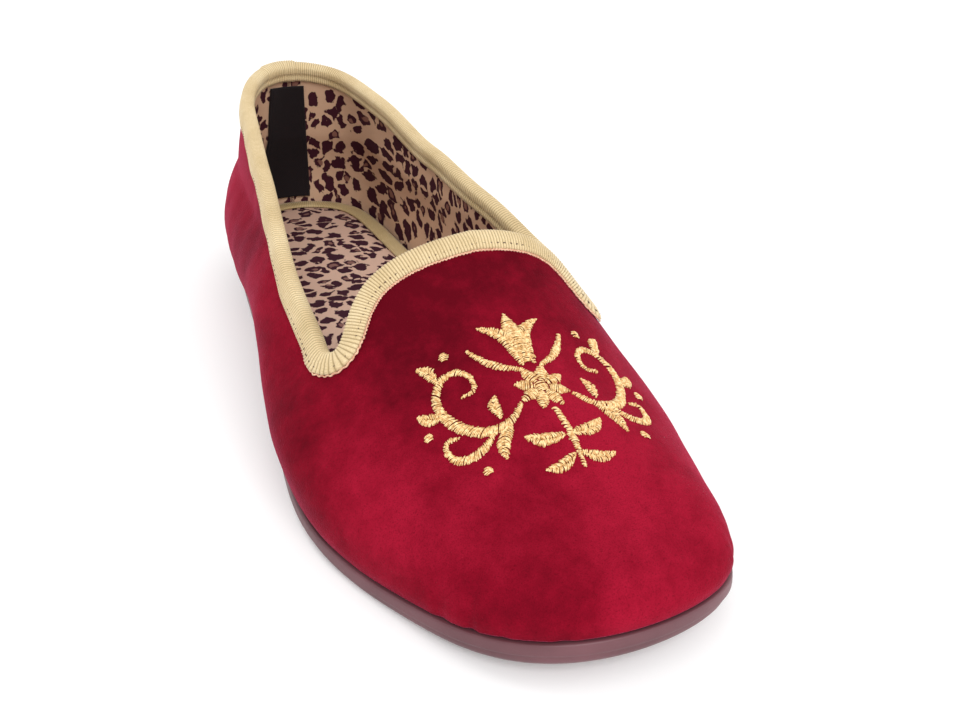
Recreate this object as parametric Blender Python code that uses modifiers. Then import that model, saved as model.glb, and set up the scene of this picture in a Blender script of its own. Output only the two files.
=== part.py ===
"""Women's velvet house slipper, right shoe: sole, upper, ribbon binding, insole with its band and heel tape.

Metres, +Z up. The toe points to -Y and the outer (lateral) side of the foot is -X. The origin is on the
floor, under the middle of the shoe.

Every curved piece comes from one description of the last. `turn` is an angle round the sole's edge: 0 at the
back of the heel, pi at the toe, lateral side first. `rise` is an angle up a rib of the last: 0 at the feather
line, where the upper meets the sole, and pi / 2 on the ridge over the foot.
"""

import math

import bmesh
import bpy
import numpy as np
from mathutils import Matrix

# Driving sizes
OUTSOLE_LENGTH = 0.250
BALL_WIDTH = 0.0955
WAIST_WIDTH = 0.0710
HEEL_WIDTH = 0.0600
HEEL_THICKNESS = 0.0161
FOREPART_THICKNESS = 0.0056
ARCH_LIFT = 0.0050
TOE_SPRING = 0.0057
INSTEP_RISE = 0.0570
COLLAR_RISE = 0.0560
FULLNESS = 0.0040
UPPER_WALL = 0.0018
FEATHER_INSET = 0.0009
BINDING_WIDTH = 0.0048
BINDING_THICKNESS = 0.0007
INSOLE_THICKNESS = 0.0030
BAND_WIDTH = 0.0055
BAND_THICKNESS = 0.0008
TAPE_WIDTH = 0.0170
TAPE_THICKNESS = 0.0008
SEAT_GAP = 0.0003
SOFT_GAP = 0.0005

WIDTHS = {"heel": HEEL_WIDTH, "waist": WAIST_WIDTH, "ball": BALL_WIDTH}

# Plan outline of the sole. along and rib_from are shares of the length, measured from the heel. lateral and
# medial are shares of the width named first. A rib of the last leaves the middle of the foot at rib_from.
OUTLINE = [
    # width, along, lateral, medial, rib_from
    ("heel", 0.000, 0.035, -0.035, 0.130),
    ("heel", 0.056, 0.365, 0.370, 0.135),
    ("heel", 0.140, 0.478, 0.435, 0.165),
    ("heel", 0.280, 0.565, 0.440, 0.285),
    ("waist", 0.440, 0.555, 0.445, 0.440),
    ("ball", 0.600, 0.496, 0.469, 0.592),
    ("ball", 0.740, 0.513, 0.487, 0.705),
    ("ball", 0.840, 0.436, 0.433, 0.765),
    ("ball", 0.920, 0.346, 0.367, 0.790),
    ("ball", 0.972, 0.229, 0.283, 0.798),
    ("ball", 1.000, -0.022, 0.022, 0.800),
]

# Side view of the sole. under and thick are shares of the named sizes beside them.
SOLE_SIDE = [
    # along, under: share of ARCH_LIFT, toe: share of TOE_SPRING, thick: 0 forepart to 1 heel
    (0.00, 0.00, 0.00, 1.00),
    (0.30, 0.00, 0.00, 0.98),
    (0.38, 0.55, 0.00, 0.86),
    (0.46, 1.00, 0.00, 0.62),
    (0.54, 0.55, 0.00, 0.32),
    (0.62, 0.00, 0.00, 0.08),
    (0.70, 0.00, 0.00, 0.00),
    (0.80, 0.00, 0.00, 0.00),
    (0.90, 0.00, 0.36, 0.03),
    (1.00, 0.00, 1.00, 0.08),
]

# Profile of the sole's side. out is a share of FOREPART_THICKNESS beyond the outline, up of the local height.
SOLE_EDGE = [
    # out, up
    (-0.12, 1.00),
    (0.00, 0.90),
    (0.04, 0.54),
    (-0.10, 0.46),
    (-0.10, 0.24),
    (-0.34, 0.00),
]

# Ridge of the last over the foot. rise is a share of INSTEP_RISE, aside of HEEL_WIDTH towards the medial side.
# square is the exponent of the rib's curve.
RIDGE = [
    # along, rise, aside, square
    (0.13, 1.370, -0.004, 2.24),
    (0.25, 1.430, -0.002, 2.34),
    (0.35, 1.446, 0.008, 2.38),
    (0.45, 1.337, 0.028, 2.29),
    (0.55, 1.144, 0.050, 2.09),
    (0.62, 0.998, 0.060, 1.97),
    (0.66, 0.890, 0.056, 1.92),
    (0.70, 0.790, 0.050, 1.90),
    (0.76, 0.668, 0.045, 1.90),
    (0.80, 0.604, 0.041, 1.90),
]

# Top edge of the quarters, heel to notch: height above the sole as a share of COLLAR_RISE.
QUARTER_EDGE = [
    # along, height
    (0.000, 1.034),
    (0.080, 0.956),
    (0.200, 0.908),
    (0.350, 0.787),
    (0.480, 0.648),
    (0.570, 0.628),
    (0.620, 0.610),
]

# Edge of the vamp, notch to middle: along is a share of the length, height a share of the rib's own rise.
VAMP_EDGE = [
    # along, height
    (0.643, 0.602),
    (0.655, 0.645),
    (0.646, 0.744),
    (0.630, 0.841),
    (0.630, 0.925),
    (0.634, 0.976),
    (0.637, 1.000),
]

# How far the upper swells out beyond the straight rib, round the shoe, as a share of FULLNESS.
SWELL = [
    # along, lateral, medial
    (0.00, 0.74, 0.62),
    (0.25, 1.42, 0.56),
    (0.45, 1.22, 0.46),
    (0.62, 1.18, 0.42),
    (0.80, 0.84, 0.46),
    (1.00, 0.44, 0.44),
]
SWELL_RISE = 0.53

QUARTER_COLUMNS = 28
VAMP_COLUMNS = 15
LOW_ROWS = 9
HIGH_ROWS = 11
SOLE_COLUMNS = 38
TAPE_COLUMNS = 4
TAPE_ROWS = 8


def columns_of(table):
    """Turn a table of rows into one array for each numeric column."""
    return [np.array(column, dtype=float) for column in zip(*table)]


def smooth(x, xs, ys):
    """Monotone cubic through the table's points, without overshoot."""
    steps = np.diff(xs)
    slopes = np.diff(ys) / steps
    middle = np.zeros(len(xs))
    same_sign = slopes[:-1] * slopes[1:] > 0.0
    left_weight = 2.0 * steps[1:] + steps[:-1]
    right_weight = steps[1:] + 2.0 * steps[:-1]
    with np.errstate(divide="ignore", invalid="ignore"):
        harmonic = (left_weight + right_weight) / (left_weight / slopes[:-1] + right_weight / slopes[1:])
    middle[1:-1] = np.where(same_sign, harmonic, 0.0)
    middle[0] = slopes[0]
    middle[-1] = slopes[-1]
    x = np.clip(x, xs[0], xs[-1])
    cell = np.clip(np.searchsorted(xs, x, side="right") - 1, 0, len(xs) - 2)
    h = steps[cell]
    t = (x - xs[cell]) / h
    start, end = ys[cell], ys[cell + 1]
    return (
        start * (1.0 + 2.0 * t) * (1.0 - t) ** 2
        + end * t * t * (3.0 - 2.0 * t)
        + h * middle[cell] * t * (1.0 - t) ** 2
        - h * middle[cell + 1] * t * t * (1.0 - t)
    )


def spline(x, xs, ys):
    """Natural cubic through the table's points."""
    gaps = np.diff(xs)
    count = len(xs)
    system = np.eye(count)
    right = np.zeros(count)
    for i in range(1, count - 1):
        system[i, i - 1 : i + 2] = gaps[i - 1] / 6.0, (gaps[i - 1] + gaps[i]) / 3.0, gaps[i] / 6.0
        right[i] = (ys[i + 1] - ys[i]) / gaps[i] - (ys[i] - ys[i - 1]) / gaps[i - 1]
    bend = np.linalg.solve(system, right)
    cell = np.clip(np.searchsorted(xs, x, side="right") - 1, 0, count - 2)
    a = (xs[cell + 1] - x) / gaps[cell]
    b = 1.0 - a
    curve = ((a**3 - a) * bend[cell] + (b**3 - b) * bend[cell + 1]) * gaps[cell] ** 2 / 6.0
    return a * ys[cell] + b * ys[cell + 1] + curve


def turn_of(along):
    """Angle round the outline at a share of the length, on the lateral side."""
    return np.arccos(1.0 - 2.0 * np.clip(along, 0.0, 1.0))


def outline_knots():
    """Knots of the closed outline, with three more past each end so that the curve joins up smoothly."""
    width, along, lateral, medial, rib_from = zip(*OUTLINE)
    size = np.array([WIDTHS[name] for name in width])
    turn = turn_of(np.array(along))
    left = -np.array(lateral) * size
    right = np.array(medial) * size
    knots = np.concatenate([turn, 2.0 * math.pi - turn[-2:0:-1]])
    values = np.concatenate([left, right[-2:0:-1]])
    knots = np.concatenate([knots[-3:] - 2.0 * math.pi, knots, knots[:4] + 2.0 * math.pi])
    values = np.concatenate([values[-3:], values, values[:4]])
    return knots, values, turn, np.array(rib_from)


KNOTS, KNOT_X, RIB_TURN, RIB_FROM = outline_knots()


def outline(turn):
    """Point of the sole's outline, seen from above, at an angle round it."""
    turn = np.mod(turn, 2.0 * math.pi)
    return np.stack([spline(turn, KNOTS, KNOT_X), 0.5 * OUTSOLE_LENGTH * np.cos(turn)], axis=-1)


def outward(turn):
    """Unit normal of the outline, pointing away from the foot."""
    tangent = outline(turn + 1e-4) - outline(turn - 1e-4)
    normal = np.stack([tangent[..., 1], -tangent[..., 0]], axis=-1)
    return normal / np.linalg.norm(normal, axis=-1, keepdims=True)


def along_of(y):
    return 0.5 - y / OUTSOLE_LENGTH


def sole_under(y):
    along, arch, toe, _ = columns_of(SOLE_SIDE)
    share = along_of(y)
    return ARCH_LIFT * smooth(share, along, arch) + TOE_SPRING * smooth(share, along, toe)


def sole_top(y):
    along, _, _, thick = columns_of(SOLE_SIDE)
    share = smooth(along_of(y), along, thick)
    return sole_under(y) + FOREPART_THICKNESS + share * (HEEL_THICKNESS - FOREPART_THICKNESS)


def rib(turn):
    """What the rib at an angle round the shoe needs: foot, middle, ridge height, slope, exponent, swell."""
    folded = np.minimum(np.mod(turn, 2.0 * math.pi), 2.0 * math.pi - np.mod(turn, 2.0 * math.pi))
    foot = outline(turn) - outward(turn) * FEATHER_INSET
    share = smooth(folded, RIB_TURN, RIB_FROM)
    along, rise, aside, square = columns_of(RIDGE)
    middle = np.stack([HEEL_WIDTH * smooth(share, along, aside), (0.5 - share) * OUTSOLE_LENGTH], axis=-1)
    height = INSTEP_RISE * smooth(share, along, rise)
    step = 0.004
    ahead = INSTEP_RISE * smooth(share + step, along, rise)
    behind = INSTEP_RISE * smooth(share - step, along, rise)
    span = np.minimum(share + step, along[-1]) - np.maximum(share - step, along[0])
    slope = (ahead - behind) / (span * OUTSOLE_LENGTH)
    exponent = smooth(share, along, square)
    at, lateral, medial = columns_of(SWELL)
    foot_share = along_of(foot[..., 1])
    side = np.clip(0.5 - foot[..., 0] / (0.5 * HEEL_WIDTH), 0.0, 1.0)
    swell = FULLNESS * (side * smooth(foot_share, at, lateral) + (1.0 - side) * smooth(foot_share, at, medial))
    return foot, middle, height, slope, exponent, swell


def last(turn, rise):
    """Point on the outside of the upper."""
    turn, rise = np.broadcast_arrays(np.asarray(turn, dtype=float), np.asarray(rise, dtype=float))
    foot, middle, height, slope, exponent, swell = rib(turn)
    reach = np.cos(rise).clip(0.0, 1.0) ** (2.0 / exponent)
    lift = np.sin(rise).clip(0.0, 1.0) ** (2.0 / exponent)
    full = np.sin(math.pi * (lift * height / (SWELL_RISE * INSTEP_RISE)).clip(0.0, 1.0))
    plan = middle + reach[..., None] * (foot - middle) + outward(turn) * (swell * full)[..., None]
    floor = sole_top(foot[..., 1]) * (1.0 - lift) + sole_top(middle[..., 1]) * lift + SOFT_GAP
    ahead = (middle[..., 1] - foot[..., 1]) * reach
    z = floor + lift * height + ahead * slope * (1.0 - reach**2)
    return np.concatenate([plan, z[..., None]], axis=-1)


def rise_at(turn, height):
    """Rise angle at which the rib stands a given height above the sole."""
    _, _, ridge, _, exponent, _ = rib(turn)
    return np.arcsin(np.clip(height / ridge, 0.0, 1.0) ** (exponent / 2.0))


def frame_at(turn, rise):
    """Point, the two surface tangents for each parameter, and the outward normal of the upper."""
    step = 1e-3
    low = np.minimum(rise, math.pi / 2.0 - step)
    point = last(turn, rise)
    by_turn = (last(turn + step, rise) - last(turn - step, rise)) / (2.0 * step)
    by_rise = (last(turn, low + step) - last(turn, low - step)) / (2.0 * step)
    normal = np.cross(by_turn, by_rise)
    normal /= np.linalg.norm(normal, axis=-1, keepdims=True)
    return point, by_turn, by_rise, normal


def edge_path(count):
    """Turn and rise angles along the topline, heel to the middle of the vamp, evenly spaced, and the notch."""
    along, height = columns_of(QUARTER_EDGE)
    turn = turn_of(along)
    rise = rise_at(turn, COLLAR_RISE * height)
    vamp_along, lift = columns_of(VAMP_EDGE)
    vamp_turn = turn_of(vamp_along)
    vamp_rise = np.arcsin(lift ** (rib(vamp_turn)[4] / 2.0))
    turn = np.concatenate([turn, vamp_turn])
    rise = np.concatenate([rise, vamp_rise])
    steps = np.linalg.norm(np.diff(last(turn, rise), axis=0), axis=1)
    at = np.concatenate([[0.0], np.cumsum(steps)])
    notch = at[len(along) - 1]
    knots = np.concatenate([-at[2:0:-1], at, 2.0 * at[-1] - at[-2:-4:-1]])
    turn = np.concatenate([-turn[2:0:-1], turn, turn[-2:-4:-1]])
    rise = np.concatenate([rise[2:0:-1], rise, math.pi - rise[-2:-4:-1]])
    shares = np.linspace(0.0, at[-1], count)
    return spline(shares, knots, turn), spline(shares, knots, rise).clip(0.0, math.pi / 2.0), notch / at[-1]


def half_edge():
    """Topline of one side: first the quarter's points, then the vamp's."""
    turn, rise, notch = edge_path(801)
    points = last(turn, rise)
    length = np.concatenate([[0.0], np.cumsum(np.linalg.norm(np.diff(points, axis=0), axis=1))])
    split = length[int(round(notch * 800))]
    even = np.linspace(0.0, 1.0, QUARTER_COLUMNS + 1)
    quarter = split * (0.6 * even + 0.2 * (1.0 - np.cos(math.pi * even)))
    vamp = np.linspace(split, length[-1], HIGH_ROWS + 1)
    wanted = np.concatenate([quarter, vamp[1:]])
    return np.interp(wanted, length, turn), np.interp(wanted, length, rise)


def new_object(name, vertices, faces, color, roughness, sheen=0.0):
    """One mesh object with its own Principled material."""
    mesh = bpy.data.meshes.new(name)
    mesh.from_pydata([tuple(map(float, vertex)) for vertex in vertices], [], faces)
    solid = bmesh.new()
    solid.from_mesh(mesh)
    bmesh.ops.remove_doubles(solid, verts=solid.verts, dist=1e-6)
    solid.to_mesh(mesh)
    solid.free()
    obj = bpy.data.objects.new(name, mesh)
    PARTS.objects.link(obj)
    material = bpy.data.materials.new(name)
    material.use_nodes = True
    shader = material.node_tree.nodes["Principled BSDF"]
    shader.inputs["Base Color"].default_value = (*color, 1.0)
    shader.inputs["Roughness"].default_value = roughness
    shader.inputs["Metallic"].default_value = 0.0
    shader.inputs["Sheen Weight"].default_value = sheen
    mesh.materials.append(material)
    return obj


def smooth_shade(obj, angle=math.radians(40.0)):
    obj.data.shade_smooth()
    obj.data.set_sharp_from_angle(angle=angle)


def grid_faces(rows, columns, start=0, flip=False):
    """Quads of a grid whose vertices run row by row."""
    faces = []
    for row in range(rows - 1):
        for column in range(columns - 1):
            a = start + row * columns + column
            quad = (a, a + 1, a + columns + 1, a + columns)
            faces.append(quad[::-1] if flip else quad)
    return faces


def upper_patches():
    """Turn and rise angles of the quarter and the vamp on one side, as grids indexed by row and column."""
    turn, rise = half_edge()
    low = np.linspace(0.0, 1.0, LOW_ROWS + 1)[:, None]
    quarter_turn = turn[None, : QUARTER_COLUMNS + 1] + 0.0 * low
    quarter_rise = rise[None, : QUARTER_COLUMNS + 1] * low
    notch_turn, notch_rise = turn[QUARTER_COLUMNS], rise[QUARTER_COLUMNS]
    start_turn = np.concatenate([np.full(LOW_ROWS, notch_turn), turn[QUARTER_COLUMNS:]])
    start_rise = np.concatenate([notch_rise * low[:-1, 0], rise[QUARTER_COLUMNS:]])
    toe_low = math.pi / 2.0 * LOW_ROWS / (LOW_ROWS + HIGH_ROWS)
    end_rise = np.concatenate([toe_low * low[:-1, 0], np.linspace(toe_low, math.pi / 2.0, HIGH_ROWS + 1)])
    across = np.linspace(0.0, 1.0, VAMP_COLUMNS + 1)[None, :]
    vamp_turn = start_turn[:, None] + (math.pi - start_turn[:, None]) * across
    vamp_rise = start_rise[:, None] + (end_rise - start_rise)[:, None] * across
    return (quarter_turn, quarter_rise), (vamp_turn, vamp_rise)


def build_upper():
    vertices = []
    faces = []
    for medial in (False, True):
        for turn, rise in upper_patches():
            rows, columns = turn.shape
            angle = 2.0 * math.pi - turn if medial else turn
            faces += grid_faces(rows, columns, len(vertices), flip=medial)
            vertices += list(last(angle, rise).reshape(-1, 3))
    upper = new_object("upper", vertices, faces, (0.30, 0.005, 0.018), 0.85, sheen=0.6)
    wall = upper.modifiers.new("wall", "SOLIDIFY")
    wall.thickness = UPPER_WALL
    wall.offset = -1.0
    wall.use_even_offset = True
    smooth_shade(upper)
    return upper


def walk(turn, rise, direction, distance, steps=4):
    """Go a distance over the upper in a direction in space, and return the new turn and rise angles."""
    for _ in range(steps):
        _, by_turn, by_rise, normal = frame_at(turn, rise)
        along = direction - (direction * normal).sum(-1, keepdims=True) * normal
        along *= distance / steps / np.linalg.norm(along, axis=-1, keepdims=True)
        tt = (by_turn * by_turn).sum(-1)
        tr = (by_turn * by_rise).sum(-1)
        rr = (by_rise * by_rise).sum(-1)
        at = (along * by_turn).sum(-1)
        ar = (along * by_rise).sum(-1)
        det = tt * rr - tr * tr
        turn = turn + (at * rr - ar * tr) / det
        rise = (rise + (ar * tt - at * tr) / det).clip(0.0, math.pi / 2.0)
    return turn, rise


def edge_loop():
    """The whole topline as turn and rise angles, with the direction from the edge into the upper."""
    turn, rise = half_edge()
    turn = np.concatenate([turn, 2.0 * math.pi - turn[-2:0:-1]])
    rise = np.concatenate([rise, rise[-2:0:-1]])
    points, _, _, normal = frame_at(turn, rise)
    tangent = np.roll(points, -1, axis=0) - np.roll(points, 1, axis=0)
    into = np.cross(tangent, normal)
    into /= np.linalg.norm(into, axis=-1, keepdims=True)
    return turn, rise, into


def build_topline_binding():
    turn, rise, into = edge_loop()
    inner = -(UPPER_WALL + SOFT_GAP)
    outer_skin = SOFT_GAP + BINDING_THICKNESS
    inner_skin = inner - BINDING_THICKNESS
    crown = SOFT_GAP + BINDING_THICKNESS
    half = 0.5 * (outer_skin - inner_skin)
    middle = 0.5 * (outer_skin + inner_skin)
    legs = [BINDING_WIDTH, 0.5 * BINDING_WIDTH, 0.0]
    profile = [(depth, outer_skin) for depth in legs]
    for angle in (45.0, 90.0, 135.0):
        radians = math.radians(angle)
        profile.append((-crown * math.sin(radians), middle + half * math.cos(radians)))
    profile += [(depth, inner_skin) for depth in reversed(legs)]
    profile += [(depth, inner) for depth in legs[:-1]]
    profile += [(-SOFT_GAP, inner), (-SOFT_GAP, SOFT_GAP)]
    profile += [(depth, SOFT_GAP) for depth in legs[-2::-1]]
    rings = []
    for depth, out in profile:
        there = walk(turn, rise, into, depth) if depth > 0.0 else (turn, rise)
        point, _, _, normal = frame_at(*there)
        rings.append(point + normal * out + into * min(depth, 0.0))
    return ring_solid("topline_binding", rings, (0.68, 0.57, 0.34), 0.55)


def ring_solid(name, rings, color, roughness):
    """Closed loop of equal sections: rings[i] is the path of the section's point i round the loop."""
    count = len(rings[0])
    vertices = [vertex for ring in rings for vertex in ring]
    faces = []
    for i in range(len(rings)):
        following = (i + 1) % len(rings)
        for k in range(count):
            ahead = (k + 1) % count
            faces.append((i * count + k, following * count + k, following * count + ahead, i * count + ahead))
    obj = new_object(name, vertices, faces, color, roughness)
    solid = bmesh.new()
    solid.from_mesh(obj.data)
    bmesh.ops.recalc_face_normals(solid, faces=solid.faces)
    solid.to_mesh(obj.data)
    solid.free()
    smooth_shade(obj)
    return obj


def plate(name, rings, columns, color, roughness):
    """Solid between a top and a bottom cap. rings run from the top cap's edge to the bottom cap's edge.

    Each ring has 2 * columns points: columns + 1 down the lateral side, then back up the medial side.
    """
    count = 2 * columns
    vertices = [vertex for ring in rings for vertex in ring]
    faces = []
    for i in range(len(rings) - 1):
        for k in range(count):
            ahead = (k + 1) % count
            faces.append((i * count + k, (i + 1) * count + k, (i + 1) * count + ahead, i * count + ahead))
    for ring in (0, len(rings) - 1):
        base = ring * count
        middles = [base]
        for k in range(1, columns):
            left, right = np.array(vertices[base + k]), np.array(vertices[base + count - k])
            middles.append(len(vertices))
            vertices.append(0.5 * (left + right))
        middles.append(base + columns)
        for k in range(columns):
            left = [base + k, base + k + 1]
            right = [base + (count - k) % count, base + count - k - 1]
            for side in (left, right):
                loop = [side[0], side[1], middles[k + 1], middles[k]]
                faces.append(tuple(dict.fromkeys(loop)))
    obj = new_object(name, vertices, faces, color, roughness)
    solid = bmesh.new()
    solid.from_mesh(obj.data)
    bmesh.ops.recalc_face_normals(solid, faces=solid.faces)
    solid.to_mesh(obj.data)
    solid.free()
    smooth_shade(obj, math.radians(35.0))
    return obj


def loop_turns(columns):
    return np.linspace(0.0, 2.0 * math.pi, 2 * columns, endpoint=False)


def inset_ring(turn, inset, height):
    """Ring inside the outline by inset, at the height that a function of y gives."""
    plan = outline(turn) - outward(turn) * inset
    return np.concatenate([plan, height(plan[..., 1])[..., None]], axis=-1)


def build_outsole():
    turn = loop_turns(SOLE_COLUMNS)
    rings = []
    for out, up in SOLE_EDGE:
        def level(y, up=up):
            return sole_under(y) * (1.0 - up) + sole_top(y) * up

        rings.append(inset_ring(turn, -out * FOREPART_THICKNESS, level))
    return plate("outsole", rings, SOLE_COLUMNS, (0.13, 0.055, 0.062), 0.45)


INSOLE_INSET = FEATHER_INSET + UPPER_WALL + SOFT_GAP + SEAT_GAP


def build_insole():
    turn = loop_turns(SOLE_COLUMNS)
    top = inset_ring(turn, INSOLE_INSET, lambda y: sole_top(y) + SEAT_GAP + INSOLE_THICKNESS)
    bottom = inset_ring(turn, INSOLE_INSET, lambda y: sole_top(y) + SEAT_GAP)
    return plate("insole", [top, bottom], SOLE_COLUMNS, (0.42, 0.28, 0.21), 0.8)


def build_insole_binding():
    turn = loop_turns(SOLE_COLUMNS)
    low = INSOLE_THICKNESS + 2.0 * SEAT_GAP
    high = low + BAND_THICKNESS
    section = [(0.0, low), (BAND_WIDTH, low), (BAND_WIDTH, high), (0.0, high)]
    rings = []
    for inset, height in section:
        rings.append(inset_ring(turn, INSOLE_INSET + inset, lambda y, h=height: sole_top(y) + h))
    return ring_solid("insole_binding", rings, (0.45, 0.35, 0.14), 0.6)


def build_heel_tape():
    low = INSOLE_THICKNESS + BAND_THICKNESS + 3.0 * SEAT_GAP
    high = COLLAR_RISE - BINDING_WIDTH - 2.0 * SEAT_GAP
    _, by_turn, _, _ = frame_at(np.array(0.0), rise_at(np.array(0.0), 0.5 * (low + high)))
    half_turn = 0.5 * TAPE_WIDTH / np.linalg.norm(by_turn)
    turn = np.linspace(-half_turn, half_turn, TAPE_COLUMNS + 1)[None, :] + np.zeros((TAPE_ROWS + 1, 1))
    height = np.linspace(low, high, TAPE_ROWS + 1)[:, None] + 0.0 * turn
    point, _, _, normal = frame_at(turn, rise_at(turn, height))
    back = point - normal * (UPPER_WALL + SOFT_GAP + SEAT_GAP)
    front = back - normal * TAPE_THICKNESS
    rows, columns = turn.shape
    size = rows * columns
    faces = grid_faces(rows, columns) + grid_faces(rows, columns, size, flip=True)
    rim = [k for k in range(columns)]
    rim += [row * columns + columns - 1 for row in range(1, rows)]
    rim += [(rows - 1) * columns + k for k in range(columns - 2, -1, -1)]
    rim += [row * columns for row in range(rows - 2, 0, -1)]
    for k, a in enumerate(rim):
        b = rim[(k + 1) % len(rim)]
        faces.append((b, a, a + size, b + size))
    vertices = list(back.reshape(-1, 3)) + list(front.reshape(-1, 3))
    tape = new_object("heel_tape", vertices, faces, (0.012, 0.009, 0.011), 0.7)
    smooth_shade(tape)
    return tape


def stand_at_origin():
    """Move the meshes so that the middle of the shoe's box is over the origin."""
    graph = bpy.context.evaluated_depsgraph_get()
    shapes = [obj.evaluated_get(graph).data for obj in PARTS.objects]
    points = np.array([vertex.co[:2] for shape in shapes for vertex in shape.vertices])
    middle = 0.5 * (points.min(axis=0) + points.max(axis=0))
    for obj in PARTS.objects:
        obj.data.transform(Matrix.Translation((-middle[0], -middle[1], 0.0)))


for leftover in list(bpy.data.objects):
    bpy.data.objects.remove(leftover, do_unlink=True)
PARTS = bpy.data.collections.new("velvet_slipper")
bpy.context.scene.collection.children.link(PARTS)

build_outsole()
build_upper()
build_topline_binding()
build_insole()
build_insole_binding()
build_heel_tape()
stand_at_origin()
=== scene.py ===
"""Women's velvet slipper, right shoe, dressed for the render: velvet, ribbon, printed lining, embroidery.

Everything is in metres, in the part's own frame: heel towards +Y, toe towards -Y, outer side at -X.
"""

import math

import bmesh
import bpy
import numpy as np
from mathutils import Matrix, Vector
from mathutils.bvhtree import BVHTree


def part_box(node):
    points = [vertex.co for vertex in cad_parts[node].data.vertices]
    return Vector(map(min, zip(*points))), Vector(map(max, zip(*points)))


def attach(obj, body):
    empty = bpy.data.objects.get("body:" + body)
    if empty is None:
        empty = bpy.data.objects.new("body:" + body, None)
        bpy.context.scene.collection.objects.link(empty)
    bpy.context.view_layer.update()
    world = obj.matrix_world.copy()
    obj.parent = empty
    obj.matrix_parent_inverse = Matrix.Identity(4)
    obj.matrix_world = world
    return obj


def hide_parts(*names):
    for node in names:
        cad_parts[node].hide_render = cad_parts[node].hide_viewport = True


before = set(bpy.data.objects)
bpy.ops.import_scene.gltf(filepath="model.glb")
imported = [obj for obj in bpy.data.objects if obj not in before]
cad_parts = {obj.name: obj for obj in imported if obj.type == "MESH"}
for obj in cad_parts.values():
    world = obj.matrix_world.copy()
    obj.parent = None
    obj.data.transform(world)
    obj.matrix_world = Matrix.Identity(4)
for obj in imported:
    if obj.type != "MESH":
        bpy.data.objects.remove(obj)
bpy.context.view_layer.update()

# Sizes and tables of the last, the same as in the part
OUTSOLE_LENGTH = 0.250
BALL_WIDTH = 0.0955
WAIST_WIDTH = 0.0710
HEEL_WIDTH = 0.0600
HEEL_THICKNESS = 0.0161
FOREPART_THICKNESS = 0.0056
ARCH_LIFT = 0.0050
TOE_SPRING = 0.0057
INSTEP_RISE = 0.0570
COLLAR_RISE = 0.0560
FULLNESS = 0.0040
UPPER_WALL = 0.0018
FEATHER_INSET = 0.0009
BINDING_WIDTH = 0.0048
BINDING_THICKNESS = 0.0007
INSOLE_THICKNESS = 0.0030
BAND_WIDTH = 0.0055
BAND_THICKNESS = 0.0008
TAPE_WIDTH = 0.0170
TAPE_THICKNESS = 0.0008
SEAT_GAP = 0.0003
SOFT_GAP = 0.0005
TAU = 2.0 * math.pi

WIDTHS = {"heel": HEEL_WIDTH, "waist": WAIST_WIDTH, "ball": BALL_WIDTH}

# Plan outline of the sole. along and rib_from are shares of the length, measured from the heel. lateral and
# medial are shares of the width named first. A rib of the last leaves the middle of the foot at rib_from.
OUTLINE = [
    # width, along, lateral, medial, rib_from
    ("heel", 0.000, 0.035, -0.035, 0.130),
    ("heel", 0.056, 0.365, 0.370, 0.135),
    ("heel", 0.140, 0.478, 0.435, 0.165),
    ("heel", 0.280, 0.565, 0.440, 0.285),
    ("waist", 0.440, 0.555, 0.445, 0.440),
    ("ball", 0.600, 0.496, 0.469, 0.592),
    ("ball", 0.740, 0.513, 0.487, 0.705),
    ("ball", 0.840, 0.436, 0.433, 0.765),
    ("ball", 0.920, 0.346, 0.367, 0.790),
    ("ball", 0.972, 0.229, 0.283, 0.798),
    ("ball", 1.000, -0.022, 0.022, 0.800),
]

# Side view of the sole. under and thick are shares of the named sizes beside them.
SOLE_SIDE = [
    # along, under: share of ARCH_LIFT, toe: share of TOE_SPRING, thick: 0 forepart to 1 heel
    (0.00, 0.00, 0.00, 1.00),
    (0.30, 0.00, 0.00, 0.98),
    (0.38, 0.55, 0.00, 0.86),
    (0.46, 1.00, 0.00, 0.62),
    (0.54, 0.55, 0.00, 0.32),
    (0.62, 0.00, 0.00, 0.08),
    (0.70, 0.00, 0.00, 0.00),
    (0.80, 0.00, 0.00, 0.00),
    (0.90, 0.00, 0.36, 0.03),
    (1.00, 0.00, 1.00, 0.08),
]

# Profile of the sole's side, finer than the part's. out is a share of FOREPART_THICKNESS beyond the outline,
# up a share of the local height.
SOLE_EDGE = [
    # out, up
    (-0.12, 1.000), (-0.05, 0.985), (-0.01, 0.955), (0.01, 0.900), (0.03, 0.760), (0.04, 0.620),
    (0.04, 0.550), (0.02, 0.525), (-0.03, 0.510), (-0.08, 0.495), (-0.10, 0.465), (-0.10, 0.350),
    (-0.11, 0.250), (-0.14, 0.170), (-0.20, 0.090), (-0.27, 0.030), (-0.34, 0.000),
]

# Ridge of the last over the foot. rise is a share of INSTEP_RISE, aside of HEEL_WIDTH to the medial side.
# square is the exponent of the rib's curve.
RIDGE = [
    # along, rise, aside, square
    (0.13, 1.370, -0.004, 2.24),
    (0.25, 1.430, -0.002, 2.34),
    (0.35, 1.446, 0.008, 2.38),
    (0.45, 1.337, 0.028, 2.29),
    (0.55, 1.144, 0.050, 2.09),
    (0.62, 0.998, 0.060, 1.97),
    (0.66, 0.890, 0.056, 1.92),
    (0.70, 0.790, 0.050, 1.90),
    (0.76, 0.668, 0.045, 1.90),
    (0.80, 0.604, 0.041, 1.90),
]

# Top edge of the quarters, heel to notch: height above the sole as a share of COLLAR_RISE.
QUARTER_EDGE = [
    # along, height
    (0.000, 1.034), (0.080, 0.956), (0.200, 0.908), (0.350, 0.787), (0.480, 0.648), (0.570, 0.628),
    (0.620, 0.610),
]

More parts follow.
